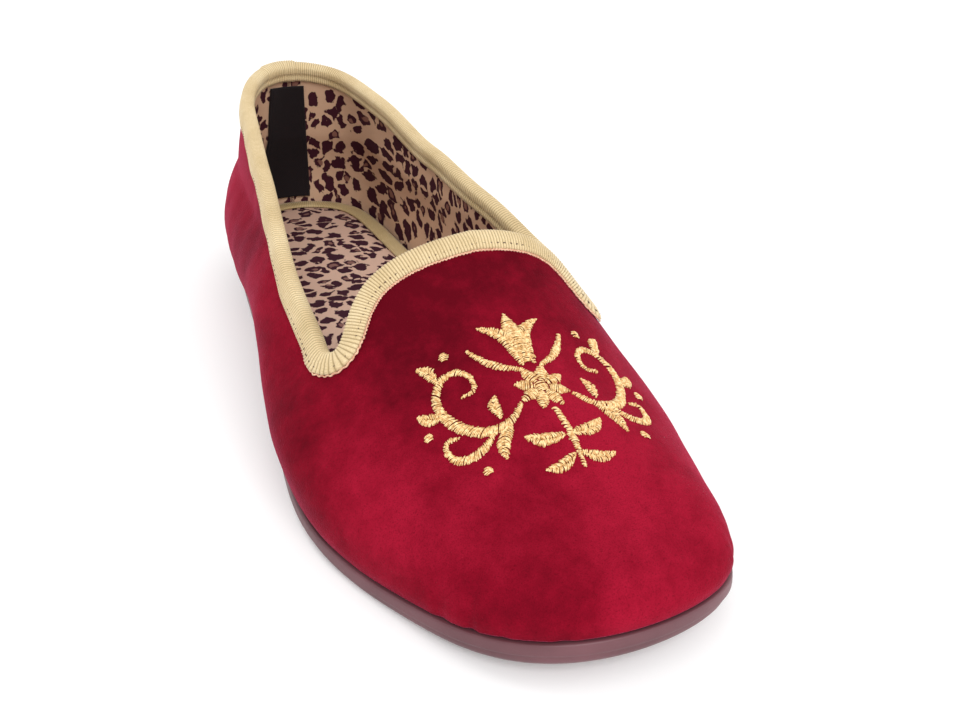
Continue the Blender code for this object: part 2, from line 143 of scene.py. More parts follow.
# Edge of the vamp, notch to middle: along is a share of the length, height a share of the rib's own rise.
VAMP_EDGE = [
    # along, height
    (0.643, 0.602), (0.655, 0.645), (0.646, 0.744), (0.630, 0.841), (0.630, 0.925), (0.634, 0.976),
    (0.637, 1.000),
]

# How far the upper swells out beyond the straight rib, round the shoe, as a share of FULLNESS.
SWELL = [
    # along, lateral, medial
    (0.00, 0.74, 0.62),
    (0.25, 1.42, 0.56),
    (0.45, 1.22, 0.46),
    (0.62, 1.18, 0.42),
    (0.80, 0.84, 0.46),
    (1.00, 0.44, 0.44),
]
SWELL_RISE = 0.53
INSOLE_INSET = FEATHER_INSET + UPPER_WALL + SOFT_GAP + SEAT_GAP

# Looks: colours, then sizes

VELVET_DARK = (0.105, 0.0009, 0.0066)
VELVET_MIDDLE = (0.215, 0.0024, 0.0140)
VELVET_LIGHT = (0.340, 0.0066, 0.0270)
VELVET_SHEEN = (1.0, 0.18, 0.34)
SOLE_DARK = (0.1029, 0.0336, 0.0420)
SOLE_LIGHT = (0.1716, 0.0630, 0.0757)
TAPE_DARK = (0.006, 0.004, 0.005)
TAPE_LIGHT = (0.018, 0.011, 0.013)
BLACK = (0.0, 0.0, 0.0)
WHITE = (1.0, 1.0, 1.0)
# Painted shade: the velvet is darkened round this point in the middle of the vamp, fading out between the two
# reach distances
VAMP_PAINTED_SHADE_CENTRE = (0.004, -0.030, 0.048)
VAMP_PAINTED_SHADE_REACH = (0.010, 0.062)
VELVET_WAVE = 0.00035
FEATHER_ROLL = 0.0003
RIB_PITCH = 0.00082
RIB_DEPTH = 0.00026
LAP_RISE = 0.0004
LAP_ENDS = (-0.004, 0.009)
RIBBON_SKIN = BINDING_THICKNESS + SOFT_GAP
RIBBON_SWELL = 0.00020
RIBBON_FOLD = 0.00040
STITCH_PITCH = 0.0019
STITCH_SHARE = 0.72
STITCH_DEPTH = 0.00020
STITCH_RADIUS = 0.00020
LOOP_PITCH = 0.00095
LOOP_REACH = 0.00035
LOOP_RADIUS = 0.00027
BAND_RIB_PITCH = 0.0009
BAND_RIB_DEPTH = 0.00009
INSOLE_CROWN = 0.0007
INSOLE_WAVE = 0.00022
INSOLE_SEAM = 0.00045
TREAD_PITCH = 0.0060
TREAD_DEPTH = 0.0011

# Embroidery, drawn in units of DESIGN_MM: x to the inner side, y towards the collar
DESIGN_MM = 0.00118
THREAD_RADIUS = 0.00020
THREAD_PITCH = 0.00037
THREAD_STRAY = 0.00012
CREST_PLACE = (0.003, -0.0725)
DRAPE_STEP = 0.001
TENDRIL = [
    (5.6, -2.6), (10.0, -5.6), (15.4, -4.6), (19.6, 0.4), (20.4, 6.4), (16.8, 10.4), (12.6, 8.4), (12.8, 4.6),
    (15.4, 4.4),
]
TENDRIL_WIDTH = (0.8, 1.9, 2.1, 1.9, 1.5, 1.0, 0.6)
CURL = [(12.6, -5.8), (17.6, -8.6), (22.4, -6.6), (22.2, -3.0), (19.6, -3.4)]
CURL_WIDTH = (0.8, 1.7, 1.7, 1.1, 0.5)
TENDRIL_LEAVES = [
    # base, tip, width, curve
    ((9.4, -5.8), (13.2, -12.6), 2.6, 0.12),
    ((20.2, 2.4), (25.0, 5.8), 2.3, -0.12),
    ((18.6, 9.8), (21.4, 15.2), 2.3, 0.12),
    ((10.6, -3.9), (9.6, 1.4), 2.2, -0.14),
]
STEM_LEAVES = [
    ((0.6, -12.0), (8.2, -9.6), 2.6, -0.14),
    ((0.5, -16.2), (7.4, -17.8), 2.4, -0.16),
]
DOTS = [(15.4, 14.6), (17.4, -13.0), (24.8, 0.4)]
DOT_RADIUS = 0.85

# Floor, light and camera. CAMERA_FIT: tilt, turn, distance, aim in plan and roll; angles in degrees.
FLOOR_SIZE = 6.0
SKY_STRENGTH = 0.80
LIGHTS = [
    # name, place, aim, width and height, watts
    ("key", (-0.15, -0.97, 0.79), (0.0, -0.03, 0.03), (0.7, 0.7), 8.0),
    ("side", (0.95, -0.40, 0.55), (0.0, 0.0, 0.03), (0.6, 0.8), 1.8),
    ("back", (-0.45, 0.65, 1.00), (0.0, 0.02, 0.03), (0.7, 0.5), 2.6),
]
CAMERA_FIT = (26.07, -34.96, 0.38024, 0.09205, 0.01663, 0.95)
LENS = 41.0
AIM = (0.0115, -0.0259, 0.0233)

# Small puckers at the feather line: share of the length, side, depth, width in turn, height
PUCKERS = [
    (0.905, -1, 0.0004, 0.020, 0.0050),
    (0.932, -1, 0.0005, 0.018, 0.0060),
    (0.955, -1, 0.0003, 0.018, 0.0040),
    (0.985, -1, 0.0003, 0.022, 0.0045),
    (0.960, 1, 0.0004, 0.020, 0.0050),
    (0.925, 1, 0.0003, 0.018, 0.0040),
]


def columns_of(table):
    """Turn a table of rows into one array for each numeric column."""
    return [np.array(column, dtype=float) for column in zip(*table)]


def smooth(x, xs, ys):
    """Monotone cubic through the table's points, without overshoot."""
    steps = np.diff(xs)
    slopes = np.diff(ys) / steps
    middle = np.zeros(len(xs))
    same_sign = slopes[:-1] * slopes[1:] > 0.0
    left_weight = 2.0 * steps[1:] + steps[:-1]
    right_weight = steps[1:] + 2.0 * steps[:-1]
    with np.errstate(divide="ignore", invalid="ignore"):
        harmonic = (left_weight + right_weight) / (left_weight / slopes[:-1] + right_weight / slopes[1:])
    middle[1:-1] = np.where(same_sign, harmonic, 0.0)
    middle[0] = slopes[0]
    middle[-1] = slopes[-1]
    x = np.clip(x, xs[0], xs[-1])
    cell = np.clip(np.searchsorted(xs, x, side="right") - 1, 0, len(xs) - 2)
    h = steps[cell]
    t = (x - xs[cell]) / h
    start, end = ys[cell], ys[cell + 1]
    return (
        start * (1.0 + 2.0 * t) * (1.0 - t) ** 2
        + end * t * t * (3.0 - 2.0 * t)
        + h * middle[cell] * t * (1.0 - t) ** 2
        - h * middle[cell + 1] * t * t * (1.0 - t)
    )


def spline(x, xs, ys):
    """Natural cubic through the table's points."""
    gaps = np.diff(xs)
    count = len(xs)
    system = np.eye(count)
    right = np.zeros(count)
    for i in range(1, count - 1):
        system[i, i - 1 : i + 2] = gaps[i - 1] / 6.0, (gaps[i - 1] + gaps[i]) / 3.0, gaps[i] / 6.0
        right[i] = (ys[i + 1] - ys[i]) / gaps[i] - (ys[i] - ys[i - 1]) / gaps[i - 1]
    bend = np.linalg.solve(system, right)
    cell = np.clip(np.searchsorted(xs, x, side="right") - 1, 0, count - 2)
    a = (xs[cell + 1] - x) / gaps[cell]
    b = 1.0 - a
    curve = ((a**3 - a) * bend[cell] + (b**3 - b) * bend[cell + 1]) * gaps[cell] ** 2 / 6.0
    return a * ys[cell] + b * ys[cell + 1] + curve


def along_path(points):
    """Distance from a path's first point to each of its points."""
    return np.concatenate([[0.0], np.cumsum(np.linalg.norm(np.diff(points, axis=0), axis=1))])


def turn_of(along):
    """Angle round the outline at a share of the length, on the lateral side."""
    return np.arccos(1.0 - 2.0 * np.clip(along, 0.0, 1.0))


def outline_knots():
    """Knots of the closed outline, with three more past each end so that the curve joins up smoothly."""
    width, along, lateral, medial, rib_from = zip(*OUTLINE)
    size = np.array([WIDTHS[name] for name in width])
    turn = turn_of(np.array(along))
    left = -np.array(lateral) * size
    right = np.array(medial) * size
    knots = np.concatenate([turn, TAU - turn[-2:0:-1]])
    values = np.concatenate([left, right[-2:0:-1]])
    knots = np.concatenate([knots[-3:] - TAU, knots, knots[:4] + TAU])
    values = np.concatenate([values[-3:], values, values[:4]])
    return knots, values, turn, np.array(rib_from)


KNOTS, KNOT_X, RIB_TURN, RIB_FROM = outline_knots()


def outline(turn):
    """Point of the sole's outline, seen from above, at an angle round it."""
    turn = np.mod(turn, TAU)
    return np.stack([spline(turn, KNOTS, KNOT_X), 0.5 * OUTSOLE_LENGTH * np.cos(turn)], axis=-1)


def outward(turn):
    """Unit normal of the outline, pointing away from the foot."""
    tangent = outline(turn + 1e-4) - outline(turn - 1e-4)
    normal = np.stack([tangent[..., 1], -tangent[..., 0]], axis=-1)
    return normal / np.linalg.norm(normal, axis=-1, keepdims=True)


def along_of(y):
    return 0.5 - y / OUTSOLE_LENGTH


def sole_under(y):
    along, arch, toe, _ = columns_of(SOLE_SIDE)
    share = along_of(y)
    return ARCH_LIFT * smooth(share, along, arch) + TOE_SPRING * smooth(share, along, toe)


def sole_top(y):
    along, _, _, thick = columns_of(SOLE_SIDE)
    share = smooth(along_of(y), along, thick)
    return sole_under(y) + FOREPART_THICKNESS + share * (HEEL_THICKNESS - FOREPART_THICKNESS)


def rib(turn):
    """What the rib at an angle round the shoe needs: foot, middle, ridge height, slope, exponent, swell."""
    folded = np.minimum(np.mod(turn, TAU), TAU - np.mod(turn, TAU))
    foot = outline(turn) - outward(turn) * FEATHER_INSET
    share = smooth(folded, RIB_TURN, RIB_FROM)
    along, rise, aside, square = columns_of(RIDGE)
    middle = np.stack([HEEL_WIDTH * smooth(share, along, aside), (0.5 - share) * OUTSOLE_LENGTH], axis=-1)
    height = INSTEP_RISE * smooth(share, along, rise)
    step = 0.004
    ahead = INSTEP_RISE * smooth(share + step, along, rise)
    behind = INSTEP_RISE * smooth(share - step, along, rise)
    span = np.minimum(share + step, along[-1]) - np.maximum(share - step, along[0])
    slope = (ahead - behind) / (span * OUTSOLE_LENGTH)
    exponent = smooth(share, along, square)
    at, lateral, medial = columns_of(SWELL)
    foot_share = along_of(foot[..., 1])
    side = np.clip(0.5 - foot[..., 0] / (0.5 * HEEL_WIDTH), 0.0, 1.0)
    swell = side * smooth(foot_share, at, lateral) + (1.0 - side) * smooth(foot_share, at, medial)
    return foot, middle, height, slope, exponent, FULLNESS * swell


def last(turn, rise):
    """Point on the outside of the upper."""
    turn, rise = np.broadcast_arrays(np.asarray(turn, dtype=float), np.asarray(rise, dtype=float))
    foot, middle, height, slope, exponent, swell = rib(turn)
    reach = np.cos(rise).clip(0.0, 1.0) ** (2.0 / exponent)
    lift = np.sin(rise).clip(0.0, 1.0) ** (2.0 / exponent)
    full = np.sin(math.pi * (lift * height / (SWELL_RISE * INSTEP_RISE)).clip(0.0, 1.0))
    plan = middle + reach[..., None] * (foot - middle) + outward(turn) * (swell * full)[..., None]
    floor = sole_top(foot[..., 1]) * (1.0 - lift) + sole_top(middle[..., 1]) * lift + SOFT_GAP
    ahead = (middle[..., 1] - foot[..., 1]) * reach
    z = floor + lift * height + ahead * slope * (1.0 - reach**2)
    return np.concatenate([plan, z[..., None]], axis=-1)


def rise_at(turn, height):
    """Rise angle at which the rib stands a given height above the sole."""
    _, _, ridge, _, exponent, _ = rib(turn)
    return np.arcsin(np.clip(height / ridge, 0.0, 1.0) ** (exponent / 2.0))


def frame_at(turn, rise):
    """Point, the two surface tangents for each parameter, and the outward normal of the upper."""
    step = 1e-3
    low = np.minimum(rise, math.pi / 2.0 - step)
    point = last(turn, rise)
    by_turn = (last(turn + step, rise) - last(turn - step, rise)) / (2.0 * step)
    by_rise = (last(turn, low + step) - last(turn, low - step)) / (2.0 * step)
    normal = np.cross(by_turn, by_rise)
    normal /= np.linalg.norm(normal, axis=-1, keepdims=True)
    return point, by_turn, by_rise, normal


def edge_path(count):
    """Turn and rise angles along the topline, evenly spaced from heel to vamp, and the notch's share."""
    along, height = columns_of(QUARTER_EDGE)
    turn = turn_of(along)
    rise = rise_at(turn, COLLAR_RISE * height)
    vamp_along, lift = columns_of(VAMP_EDGE)
    vamp_turn = turn_of(vamp_along)
    vamp_rise = np.arcsin(lift ** (rib(vamp_turn)[4] / 2.0))
    turn = np.concatenate([turn, vamp_turn])
    rise = np.concatenate([rise, vamp_rise])
    at = along_path(last(turn, rise))
    notch = at[len(along) - 1]
    knots = np.concatenate([-at[2:0:-1], at, 2.0 * at[-1] - at[-2:-4:-1]])
    turn = np.concatenate([-turn[2:0:-1], turn, turn[-2:-4:-1]])
    rise = np.concatenate([rise[2:0:-1], rise, math.pi - rise[-2:-4:-1]])
    shares = np.linspace(0.0, at[-1], count)
    return spline(shares, knots, turn), spline(shares, knots, rise).clip(0.0, math.pi / 2.0), notch / at[-1]


def walk(turn, rise, direction, distance, steps=4):
    """Go a distance over the upper in a direction in space, and return the new turn and rise angles."""
    for _ in range(steps):
        _, by_turn, by_rise, normal = frame_at(turn, rise)
        along = direction - (direction * normal).sum(-1, keepdims=True) * normal
        along *= distance / steps / np.linalg.norm(along, axis=-1, keepdims=True)
        tt = (by_turn * by_turn).sum(-1)
        tr = (by_turn * by_rise).sum(-1)
        rr = (by_rise * by_rise).sum(-1)
        at = (along * by_turn).sum(-1)
        ar = (along * by_rise).sum(-1)
        det = tt * rr - tr * tr
        turn = turn + (at * rr - ar * tr) / det
        rise = (rise + (ar * tt - at * tr) / det).clip(0.0, math.pi / 2.0)
    return turn, rise


# Materials


class Nodes:
    """Short way to build a material's node tree."""

    def __init__(self, name):
        self.material = bpy.data.materials.new(name)
        self.material.use_nodes = True
        self.tree = self.material.node_tree
        self.shader = self.tree.nodes["Principled BSDF"]

    def add(self, kind, source=None, **settings):
        """New node with its settings; source is linked to its first input."""
        node = self.tree.nodes.new("ShaderNode" + kind)
        for key, value in settings.items():
            if hasattr(node, key):
                setattr(node, key, value)
            else:
                node.inputs[key.replace("_", " ")].default_value = value
        if source is not None:
            self.link(source, node.inputs[0])
        return node

    def link(self, source, target):
        self.tree.links.new(source, target)

    def feed(self, value, target):
        """Link an output, or set a number or a colour."""
        if isinstance(value, tuple):
            target.default_value = (*value, 1.0)
        elif isinstance(value, (int, float)):
            target.default_value = value
        else:
            self.link(value, target)

    def set(self, **values):
        for key, value in values.items():
            self.shader.inputs[key.replace("_", " ")].default_value = value

    def color(self, output):
        self.link(output, self.shader.inputs["Base Color"])

    def cloth(self):
        """Coordinates of the cloth in metres: x along the piece, y across it."""
        return self.add("UVMap", uv_map="cloth").outputs["UV"]

    def place(self):
        return self.add("TexCoord").outputs["Object"]

    def noise(self, vector, scale, detail=2.0, roughness=0.5, distortion=0.0):
        node = self.add("TexNoise", vector, Scale=scale, Detail=detail, Roughness=roughness,
                        Distortion=distortion)
        return node.outputs["Fac"]

    def flat_noise(self, vector, scale, detail):
        return self.add("TexNoise", vector, noise_dimensions="2D", Scale=scale, Detail=detail)

    def math(self, operation, *values):
        node = self.add("Math", operation=operation)
        for socket, value in zip(node.inputs, values):
            self.feed(value, socket)
        return node.outputs[0]

    def plus(self, first, second):
        return self.math("ADD", first, second)

    def minus(self, first, second):
        return self.math("SUBTRACT", first, second)

    def times(self, first, second):
        return self.math("MULTIPLY", first, second)

    def ramp(self, value, *stops):
        """Colour ramp; each stop is a place from 0 to 1 and a colour."""
        node = self.add("ValToRGB", value)
        band = node.color_ramp
        while len(band.elements) < len(stops):
            band.elements.new(0.5)
        for element, (place, color) in zip(band.elements, stops):
            element.position = place
            element.color = (*color, 1.0)
        return node.outputs["Color"]

    def mix(self, share, first, second):
        node = self.add("Mix", data_type="RGBA")
        colors = [socket for socket in node.inputs if socket.type == "RGBA"]
        for socket, value in zip((node.inputs["Factor"], *colors), (share, first, second)):
            self.feed(value, socket)
        return [socket for socket in node.outputs if socket.type == "RGBA"][0]

    def bump(self, height, distance, strength=1.0, under=None):
        """Surface normal with a bump, over another bump where one is given."""
        node = self.add("Bump", Strength=strength, Distance=distance)
        self.link(height, node.inputs["Height"])
        if under is not None:
            self.link(under, node.inputs["Normal"])
        return node.outputs["Normal"]

    def finish(self, height, distance, strength, under=None):
        self.link(self.bump(height, distance, strength, under), self.shader.inputs["Normal"])
        return self.material


def velvet_material():
    """Short cut pile, lighter where it is grazed, brushed in patches, and darkened by painted shade in the
    middle of the vamp.
    """
    n = Nodes("velvet")
    place = n.place()
    stretched = n.add("Mapping", place, Scale=(1.0, 0.6, 1.0)).outputs["Vector"]
    brushed = n.noise(stretched, 24.0, detail=3.0, roughness=0.5, distortion=0.5)
    patches = n.noise(place, 170.0, detail=4.0, roughness=0.7)
    away = n.add("VectorMath", place, operation="DISTANCE")
    away.inputs[1].default_value = VAMP_PAINTED_SHADE_CENTRE
    near, far = VAMP_PAINTED_SHADE_REACH
    # Painted shade: dark in the middle of the vamp, where less light falls, fading to none further out
    painted_vamp_shade = n.ramp(away.outputs["Value"], (near, BLACK), (far, WHITE))
    mottle = n.plus(n.times(brushed, 0.68), n.times(patches, 0.32))
    # The nap's tone is random patches plus the painted shade of the vamp
    nap_and_painted_shade = n.plus(mottle, n.times(n.minus(painted_vamp_shade, 0.55), 0.14))
    pile = n.noise(place, 2200.0, detail=2.0)
    tone = n.ramp(nap_and_painted_shade, (0.36, VELVET_DARK), (0.50, VELVET_MIDDLE), (0.66, VELVET_LIGHT))
    n.color(n.mix(n.times(n.math("ABSOLUTE", n.minus(pile, 0.5)), 2.2), tone, VELVET_DARK))
    n.set(Roughness=0.95, Specular_IOR_Level=0.06)
    n.set(Sheen_Weight=0.34, Sheen_Roughness=0.28, Sheen_Tint=(*VELVET_SHEEN, 1.0))
    return n.finish(pile, 0.00025, 0.7, under=n.bump(nap_and_painted_shade, 0.0010, strength=0.22))


def leopard_material(name, base, spot, centre, scale):
    """Printed cloth: closely set dark spots with ragged edges, some opened by a browner middle."""
    n = Nodes(name)
    cloth = n.cloth()
    wobble = n.flat_noise(cloth, scale * 0.9, 1.5)
    shift = n.add("VectorMath", wobble.outputs["Color"], operation="SCALE", Scale=0.60 / scale)
    moved = n.add("VectorMath", cloth, operation="ADD")
    n.link(shift.outputs[0], moved.inputs[1])
    grid = {"voronoi_dimensions": "2D", "Scale": scale, "Randomness": 0.88}
    border = n.add("TexVoronoi", moved.outputs[0], feature="DISTANCE_TO_EDGE", **grid)
    cells = n.add("TexVoronoi", moved.outputs[0], **grid)
    ragged = n.flat_noise(cloth, scale * 1.9, 2.5)
    rough = n.times(n.minus(ragged.outputs["Fac"], 0.5), 0.55)
    between = n.minus(border.outputs["Distance"], 0.045)
    blob = n.times(n.minus(0.50, cells.outputs["Distance"]), 0.80)
    inside = n.plus(n.math("MINIMUM", between, blob), rough)
    printed = n.ramp(inside, (0.030, base), (0.070, spot))
    picked = n.add("SeparateXYZ", cells.outputs["Color"])
    middle = n.minus(n.plus(0.15, n.times(rough, 0.7)), cells.outputs["Distance"])
    chosen = n.plus(middle, n.times(n.minus(picked.outputs["X"], 0.80), 0.60))
    opened = n.ramp(chosen, (0.0, BLACK), (0.05, WHITE))
    n.color(n.mix(opened, printed, centre))
    n.set(Roughness=0.85, Specular_IOR_Level=0.12)
    return n.finish(n.flat_noise(cloth, 2500.0, 1.0).outputs["Fac"], 0.0002, 0.5)


def ribbon_material(name, pitch, color, dark, light, groove):
    """Corded ribbon: shine on the modelled ribs, and painted shade as a darker line between them."""
    n = Nodes(name)
    cloth = n.cloth()
    stretch = n.add("Mapping", cloth, Scale=(0.35, 1.0, 1.0))
    thread = n.noise(stretch.outputs["Vector"], 5200.0)
    wear = n.noise(n.place(), 90.0, detail=3.0)
    tone = n.plus(n.times(thread, 0.55), n.times(wear, 0.45))
    woven = n.ramp(tone, (0.30, dark), (0.52, color), (0.72, light))
    split = n.add("SeparateXYZ", cloth)
    crest = n.math("ABSOLUTE", n.math("SINE", n.times(split.outputs["X"], math.pi / pitch)))
    between = n.math("POWER", n.minus(1.0, crest), 2.0)
    # Painted shade: the groove colour darkens the hollows between the ribs
    n.color(n.mix(n.times(between, 0.85), woven, groove))
    n.set(Roughness=0.55, Sheen_Weight=0.25, Sheen_Roughness=0.35, Specular_IOR_Level=0.4)
    return n.finish(thread, 0.00012, 0.6)


def tape_material():
    n = Nodes("black_tape")
    twill = n.add("TexWave", n.cloth(), wave_type="BANDS", bands_direction="DIAGONAL", Scale=900.0,
                  Distortion=0.6)
    n.color(n.ramp(twill.outputs["Fac"], (0.0, TAPE_DARK), (1.0, TAPE_LIGHT)))
    n.set(Roughness=0.85, Sheen_Weight=0.05, Sheen_Roughness=0.5, Specular_IOR_Level=0.2)
    return n.finish(twill.outputs["Fac"], 0.00015, 0.5)


def rubber_material():
    n = Nodes("sole_rubber")
    place = n.place()
    bloom = n.noise(place, 40.0, detail=3.0)
    n.color(n.ramp(bloom, (0.35, SOLE_DARK), (0.65, SOLE_LIGHT)))
    n.link(n.plus(0.36, n.times(bloom, 0.16)), n.shader.inputs["Roughness"])
    n.set(Specular_IOR_Level=0.45)
    return n.finish(n.noise(place, 1500.0, detail=3.0, roughness=0.6), 0.00012, 0.5)


def thread_material(name, color, light, rough):
    n = Nodes(name)
    n.color(n.ramp(n.noise(n.place(), 1500.0), (0.40, color), (0.62, light)))
    n.set(Roughness=rough, Specular_IOR_Level=0.5)
    return n.material


# Meshes


def lay_cloth(mesh, uv):
    """Cloth coordinates in metres, one pair for each vertex."""
    layer = mesh.uv_layers.new(name="cloth")
    corner = np.empty(len(mesh.loops), dtype=np.int32)
    mesh.loops.foreach_get("vertex_index", corner)
    layer.data.foreach_set("uv", np.asarray(uv, dtype=np.float32)[corner].ravel())


def add_mesh(name, vertices, faces, material, uv=None):
    """Smooth mesh piece that rides on the shoe."""
    mesh = bpy.data.meshes.new(name)
    mesh.from_pydata(np.asarray(vertices, dtype=float).tolist(), [], faces)
    mesh.materials.append(material)
    if uv is not None:
        lay_cloth(mesh, uv)
    mesh.shade_smooth()
    mesh.validate()
    mesh.update()
    piece = bpy.data.objects.new(name, mesh)
    bpy.context.scene.collection.objects.link(piece)
    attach(piece, "root")
    return piece


def repair(piece, weld=0.0, outward=True):
    """Join the vertices of patches that share an edge, and turn the faces outward."""
    work = bmesh.new()
    work.from_mesh(piece.data)
    if weld:
        bmesh.ops.remove_doubles(work, verts=work.verts, dist=weld)
    if outward:
        bmesh.ops.recalc_face_normals(work, faces=work.faces)
    work.to_mesh(piece.data)
    work.free()


def grid_faces(rows, columns, start=0, flip=False):
    """Quads of a grid whose vertices run row by row."""
    row, column = np.meshgrid(np.arange(rows - 1), np.arange(columns - 1), indexing="ij")
    a = (start + row * columns + column).ravel()
    quads = np.stack([a, a + 1, a + columns + 1, a + columns], axis=1)
    return (quads[:, ::-1] if flip else quads).tolist()


def loop_faces(sections, points, start=0):
    """Quads of a closed loop of closed sections, stored section by section."""
    section, point = np.meshgrid(np.arange(sections), np.arange(points), indexing="ij")
    next_section = (section + 1) % sections
    next_point = (point + 1) % points
    a = start + section * points + point
    b = start + section * points + next_point
    c = start + next_section * points + next_point
    d = start + next_section * points + point
    return np.stack([a, b, c, d], axis=-1).reshape(-1, 4).tolist()


def sweep(name, rings, along, across, material):
    """Closed band from rings of points; along and across are its cloth coordinates."""
    rings = np.array(rings)
    width, sections = rings.shape[:2]
    uv = np.stack(np.meshgrid(along, across, indexing="ij"), axis=-1).reshape(-1, 2)
    vertices = placed(rings.transpose(1, 0, 2)).reshape(-1, 3)
    piece = add_mesh(name, vertices, loop_faces(sections, width), material, uv=uv)
    repair(piece)
    return piece


class Bits:
    """Collects many small tubes into one joined mesh."""

    def __init__(self):
        self.vertices = []
        self.faces = []
        self.count = 0

    def tube(self, path, radius, sides=5, side_way=None):
        """Closed tube along a path; radius is a number or one for each point; ends taper to a point."""
        path = np.asarray(path, dtype=float)
        count = len(path)
        radius = np.broadcast_to(np.asarray(radius, dtype=float), (count,))
        tangent = np.gradient(path, axis=0)
        tangent /= np.linalg.norm(tangent, axis=1)[:, None] + 1e-12
        guide = np.array([0.0, 0.0, 1.0]) if side_way is None else np.asarray(side_way, dtype=float)
        across = np.cross(tangent, guide)
        across /= np.linalg.norm(across, axis=1)[:, None] + 1e-12
        up = np.cross(across, tangent)
        angle = np.linspace(0.0, TAU, sides, endpoint=False)
        wide = radius[:, None, None] * np.cos(angle)[None, :, None] * across[:, None, :]
        high = radius[:, None, None] * np.sin(angle)[None, :, None] * up[:, None, :]
        ring = path[:, None, :] + wide + high
        start = self.count
        self.vertices.append(ring.reshape(-1, 3))
        self.vertices.append(path[[0]] - tangent[[0]] * radius[0] * 0.6)
        self.vertices.append(path[[-1]] + tangent[[-1]] * radius[-1] * 0.6)
        row, column = np.meshgrid(np.arange(count - 1), np.arange(sides), indexing="ij")
        after = (column + 1) % sides
        a = start + row * sides + column
        b = start + row * sides + after
        quads = np.stack([a, b, b + sides, a + sides], axis=-1).reshape(-1, 4)
        self.faces += quads.tolist()
        first = start + count * sides
        last_ring = start + (count - 1) * sides
        for k in range(sides):
            after = (k + 1) % sides
            self.faces.append((start + after, start + k, first))
            self.faces.append((last_ring + k, last_ring + after, first + 1))
        self.count += count * sides + 2

    def piece(self, name, material, slot):
        return add_mesh(name, np.vstack(self.vertices), self.faces, material)


# Places on the shoe


def placed(points):
    """From the last's own plan to the part's frame, whose origin is under the middle of the shoe's box."""
    return points + SHIFT


def sole_shift():
    """How far the part stands from the outline's own axes, read from the sole's box."""
    turn = np.linspace(0.0, TAU, 4001)
    plan = outline(turn) + outward(turn) * max(row[0] for row in SOLE_EDGE) * FOREPART_THICKNESS
    low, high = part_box("outsole")
    return np.array([
        0.5 * (low.x + high.x) - 0.5 * (plan[:, 0].min() + plan[:, 0].max()),
        0.5 * (low.y + high.y) - 0.5 * (plan[:, 1].min() + plan[:, 1].max()),
        0.0,
    ])


SHIFT = sole_shift()


def wave(points, length, seed, octaves=3):
    """Smooth random relief from -1 to 1, made of waves in fixed seeded directions."""
    rng = np.random.default_rng(seed)
    total = np.zeros(points.shape[:-1])
    weight = 0.0
    for octave in range(octaves):
        size = length / 1.9**octave
        for _ in range(5):
            way = rng.normal(size=3)
            way /= np.linalg.norm(way)
            total += np.sin(points @ way * (TAU / size) + rng.uniform(0.0, 6.28)) * 0.62**octave
        weight += 2.4 * 0.62**octave
    return np.clip(total / weight, -1.0, 1.0)


def bell(x, middle, width):
    return np.exp(-(((x - middle) / width) ** 2))


def relief(point, turn):
    """Height of the velvet over the smooth last: unevenness, roll at the feather line, toe puckers."""
    folded = np.minimum(np.mod(turn, TAU), TAU - np.mod(turn, TAU))
    up = point[..., 2] - sole_top(point[..., 1])
    height = VELVET_WAVE * wave(point, 0.055, 3) * np.clip(up / 0.010, 0.0, 1.0)
    height += FEATHER_ROLL * bell(up, 0.0032, 0.0026)
    for at, side, deep, wide, tall in PUCKERS:
        inside = (turn < math.pi) if side < 0 else (turn >= math.pi)
        place = turn_of(np.array(at))
        along = (folded - place) / wide
        groove = bell(along, 0.0, 1.0) - 0.45 * (bell(along, 1.7, 0.9) + bell(along, -1.7, 0.9))
        height -= deep * groove * bell(up, 0.0035, tall) * inside
    return height


def velvet_at(turn, rise, out=0.0):
    """Point of the velvet's face, or out beyond it, in the part's frame."""
    point = last(turn, rise)
    near = np.minimum(rise, math.pi / 2.0 - 0.002)
    normal = frame_at(turn, near)[3]
    across = frame_at(TAU - turn, near)[3]
    on_ridge = (rise > math.pi / 2.0 - 1e-6)[..., None]
    normal = np.where(on_ridge, normal + across, normal)
    normal /= np.linalg.norm(normal, axis=-1, keepdims=True)
    return placed(point + normal * (relief(point, turn) + out)[..., None])


# Upper


def fine_patches(quarter_columns, vamp_columns, low_rows, high_rows):
    """Angles of the quarter and the vamp on one side, as grids, finer than the part's solid."""
    turn, rise, notch = edge_path(3001)
    length = along_path(last(turn, rise))
    split = length[int(round(notch * 3000))]
    wanted = np.concatenate([
        np.linspace(0.0, split, quarter_columns + 1),
        np.linspace(split, length[-1], high_rows + 1)[1:],
    ])
    turn = np.interp(wanted, length, turn)
    rise = np.interp(wanted, length, rise)
    low = np.linspace(0.0, 1.0, low_rows + 1)[:, None]
    quarter = (turn[None, : quarter_columns + 1] + 0.0 * low, rise[None, : quarter_columns + 1] * low)
    notch_turn, notch_rise = turn[quarter_columns], rise[quarter_columns]
    start_turn = np.concatenate([np.full(low_rows, notch_turn), turn[quarter_columns:]])
    start_rise = np.concatenate([notch_rise * low[:-1, 0], rise[quarter_columns:]])
    toe_low = math.pi / 2.0 * low_rows / (low_rows + high_rows)
    end_rise = np.concatenate([toe_low * low[:-1, 0], np.linspace(toe_low, math.pi / 2.0, high_rows + 1)])
    across = np.linspace(0.0, 1.0, vamp_columns + 1)[None, :]
    vamp = (
        start_turn[:, None] + (math.pi - start_turn[:, None]) * across,
        start_rise[:, None] + (end_rise - start_rise)[:, None] * across,
    )
    return quarter, vamp


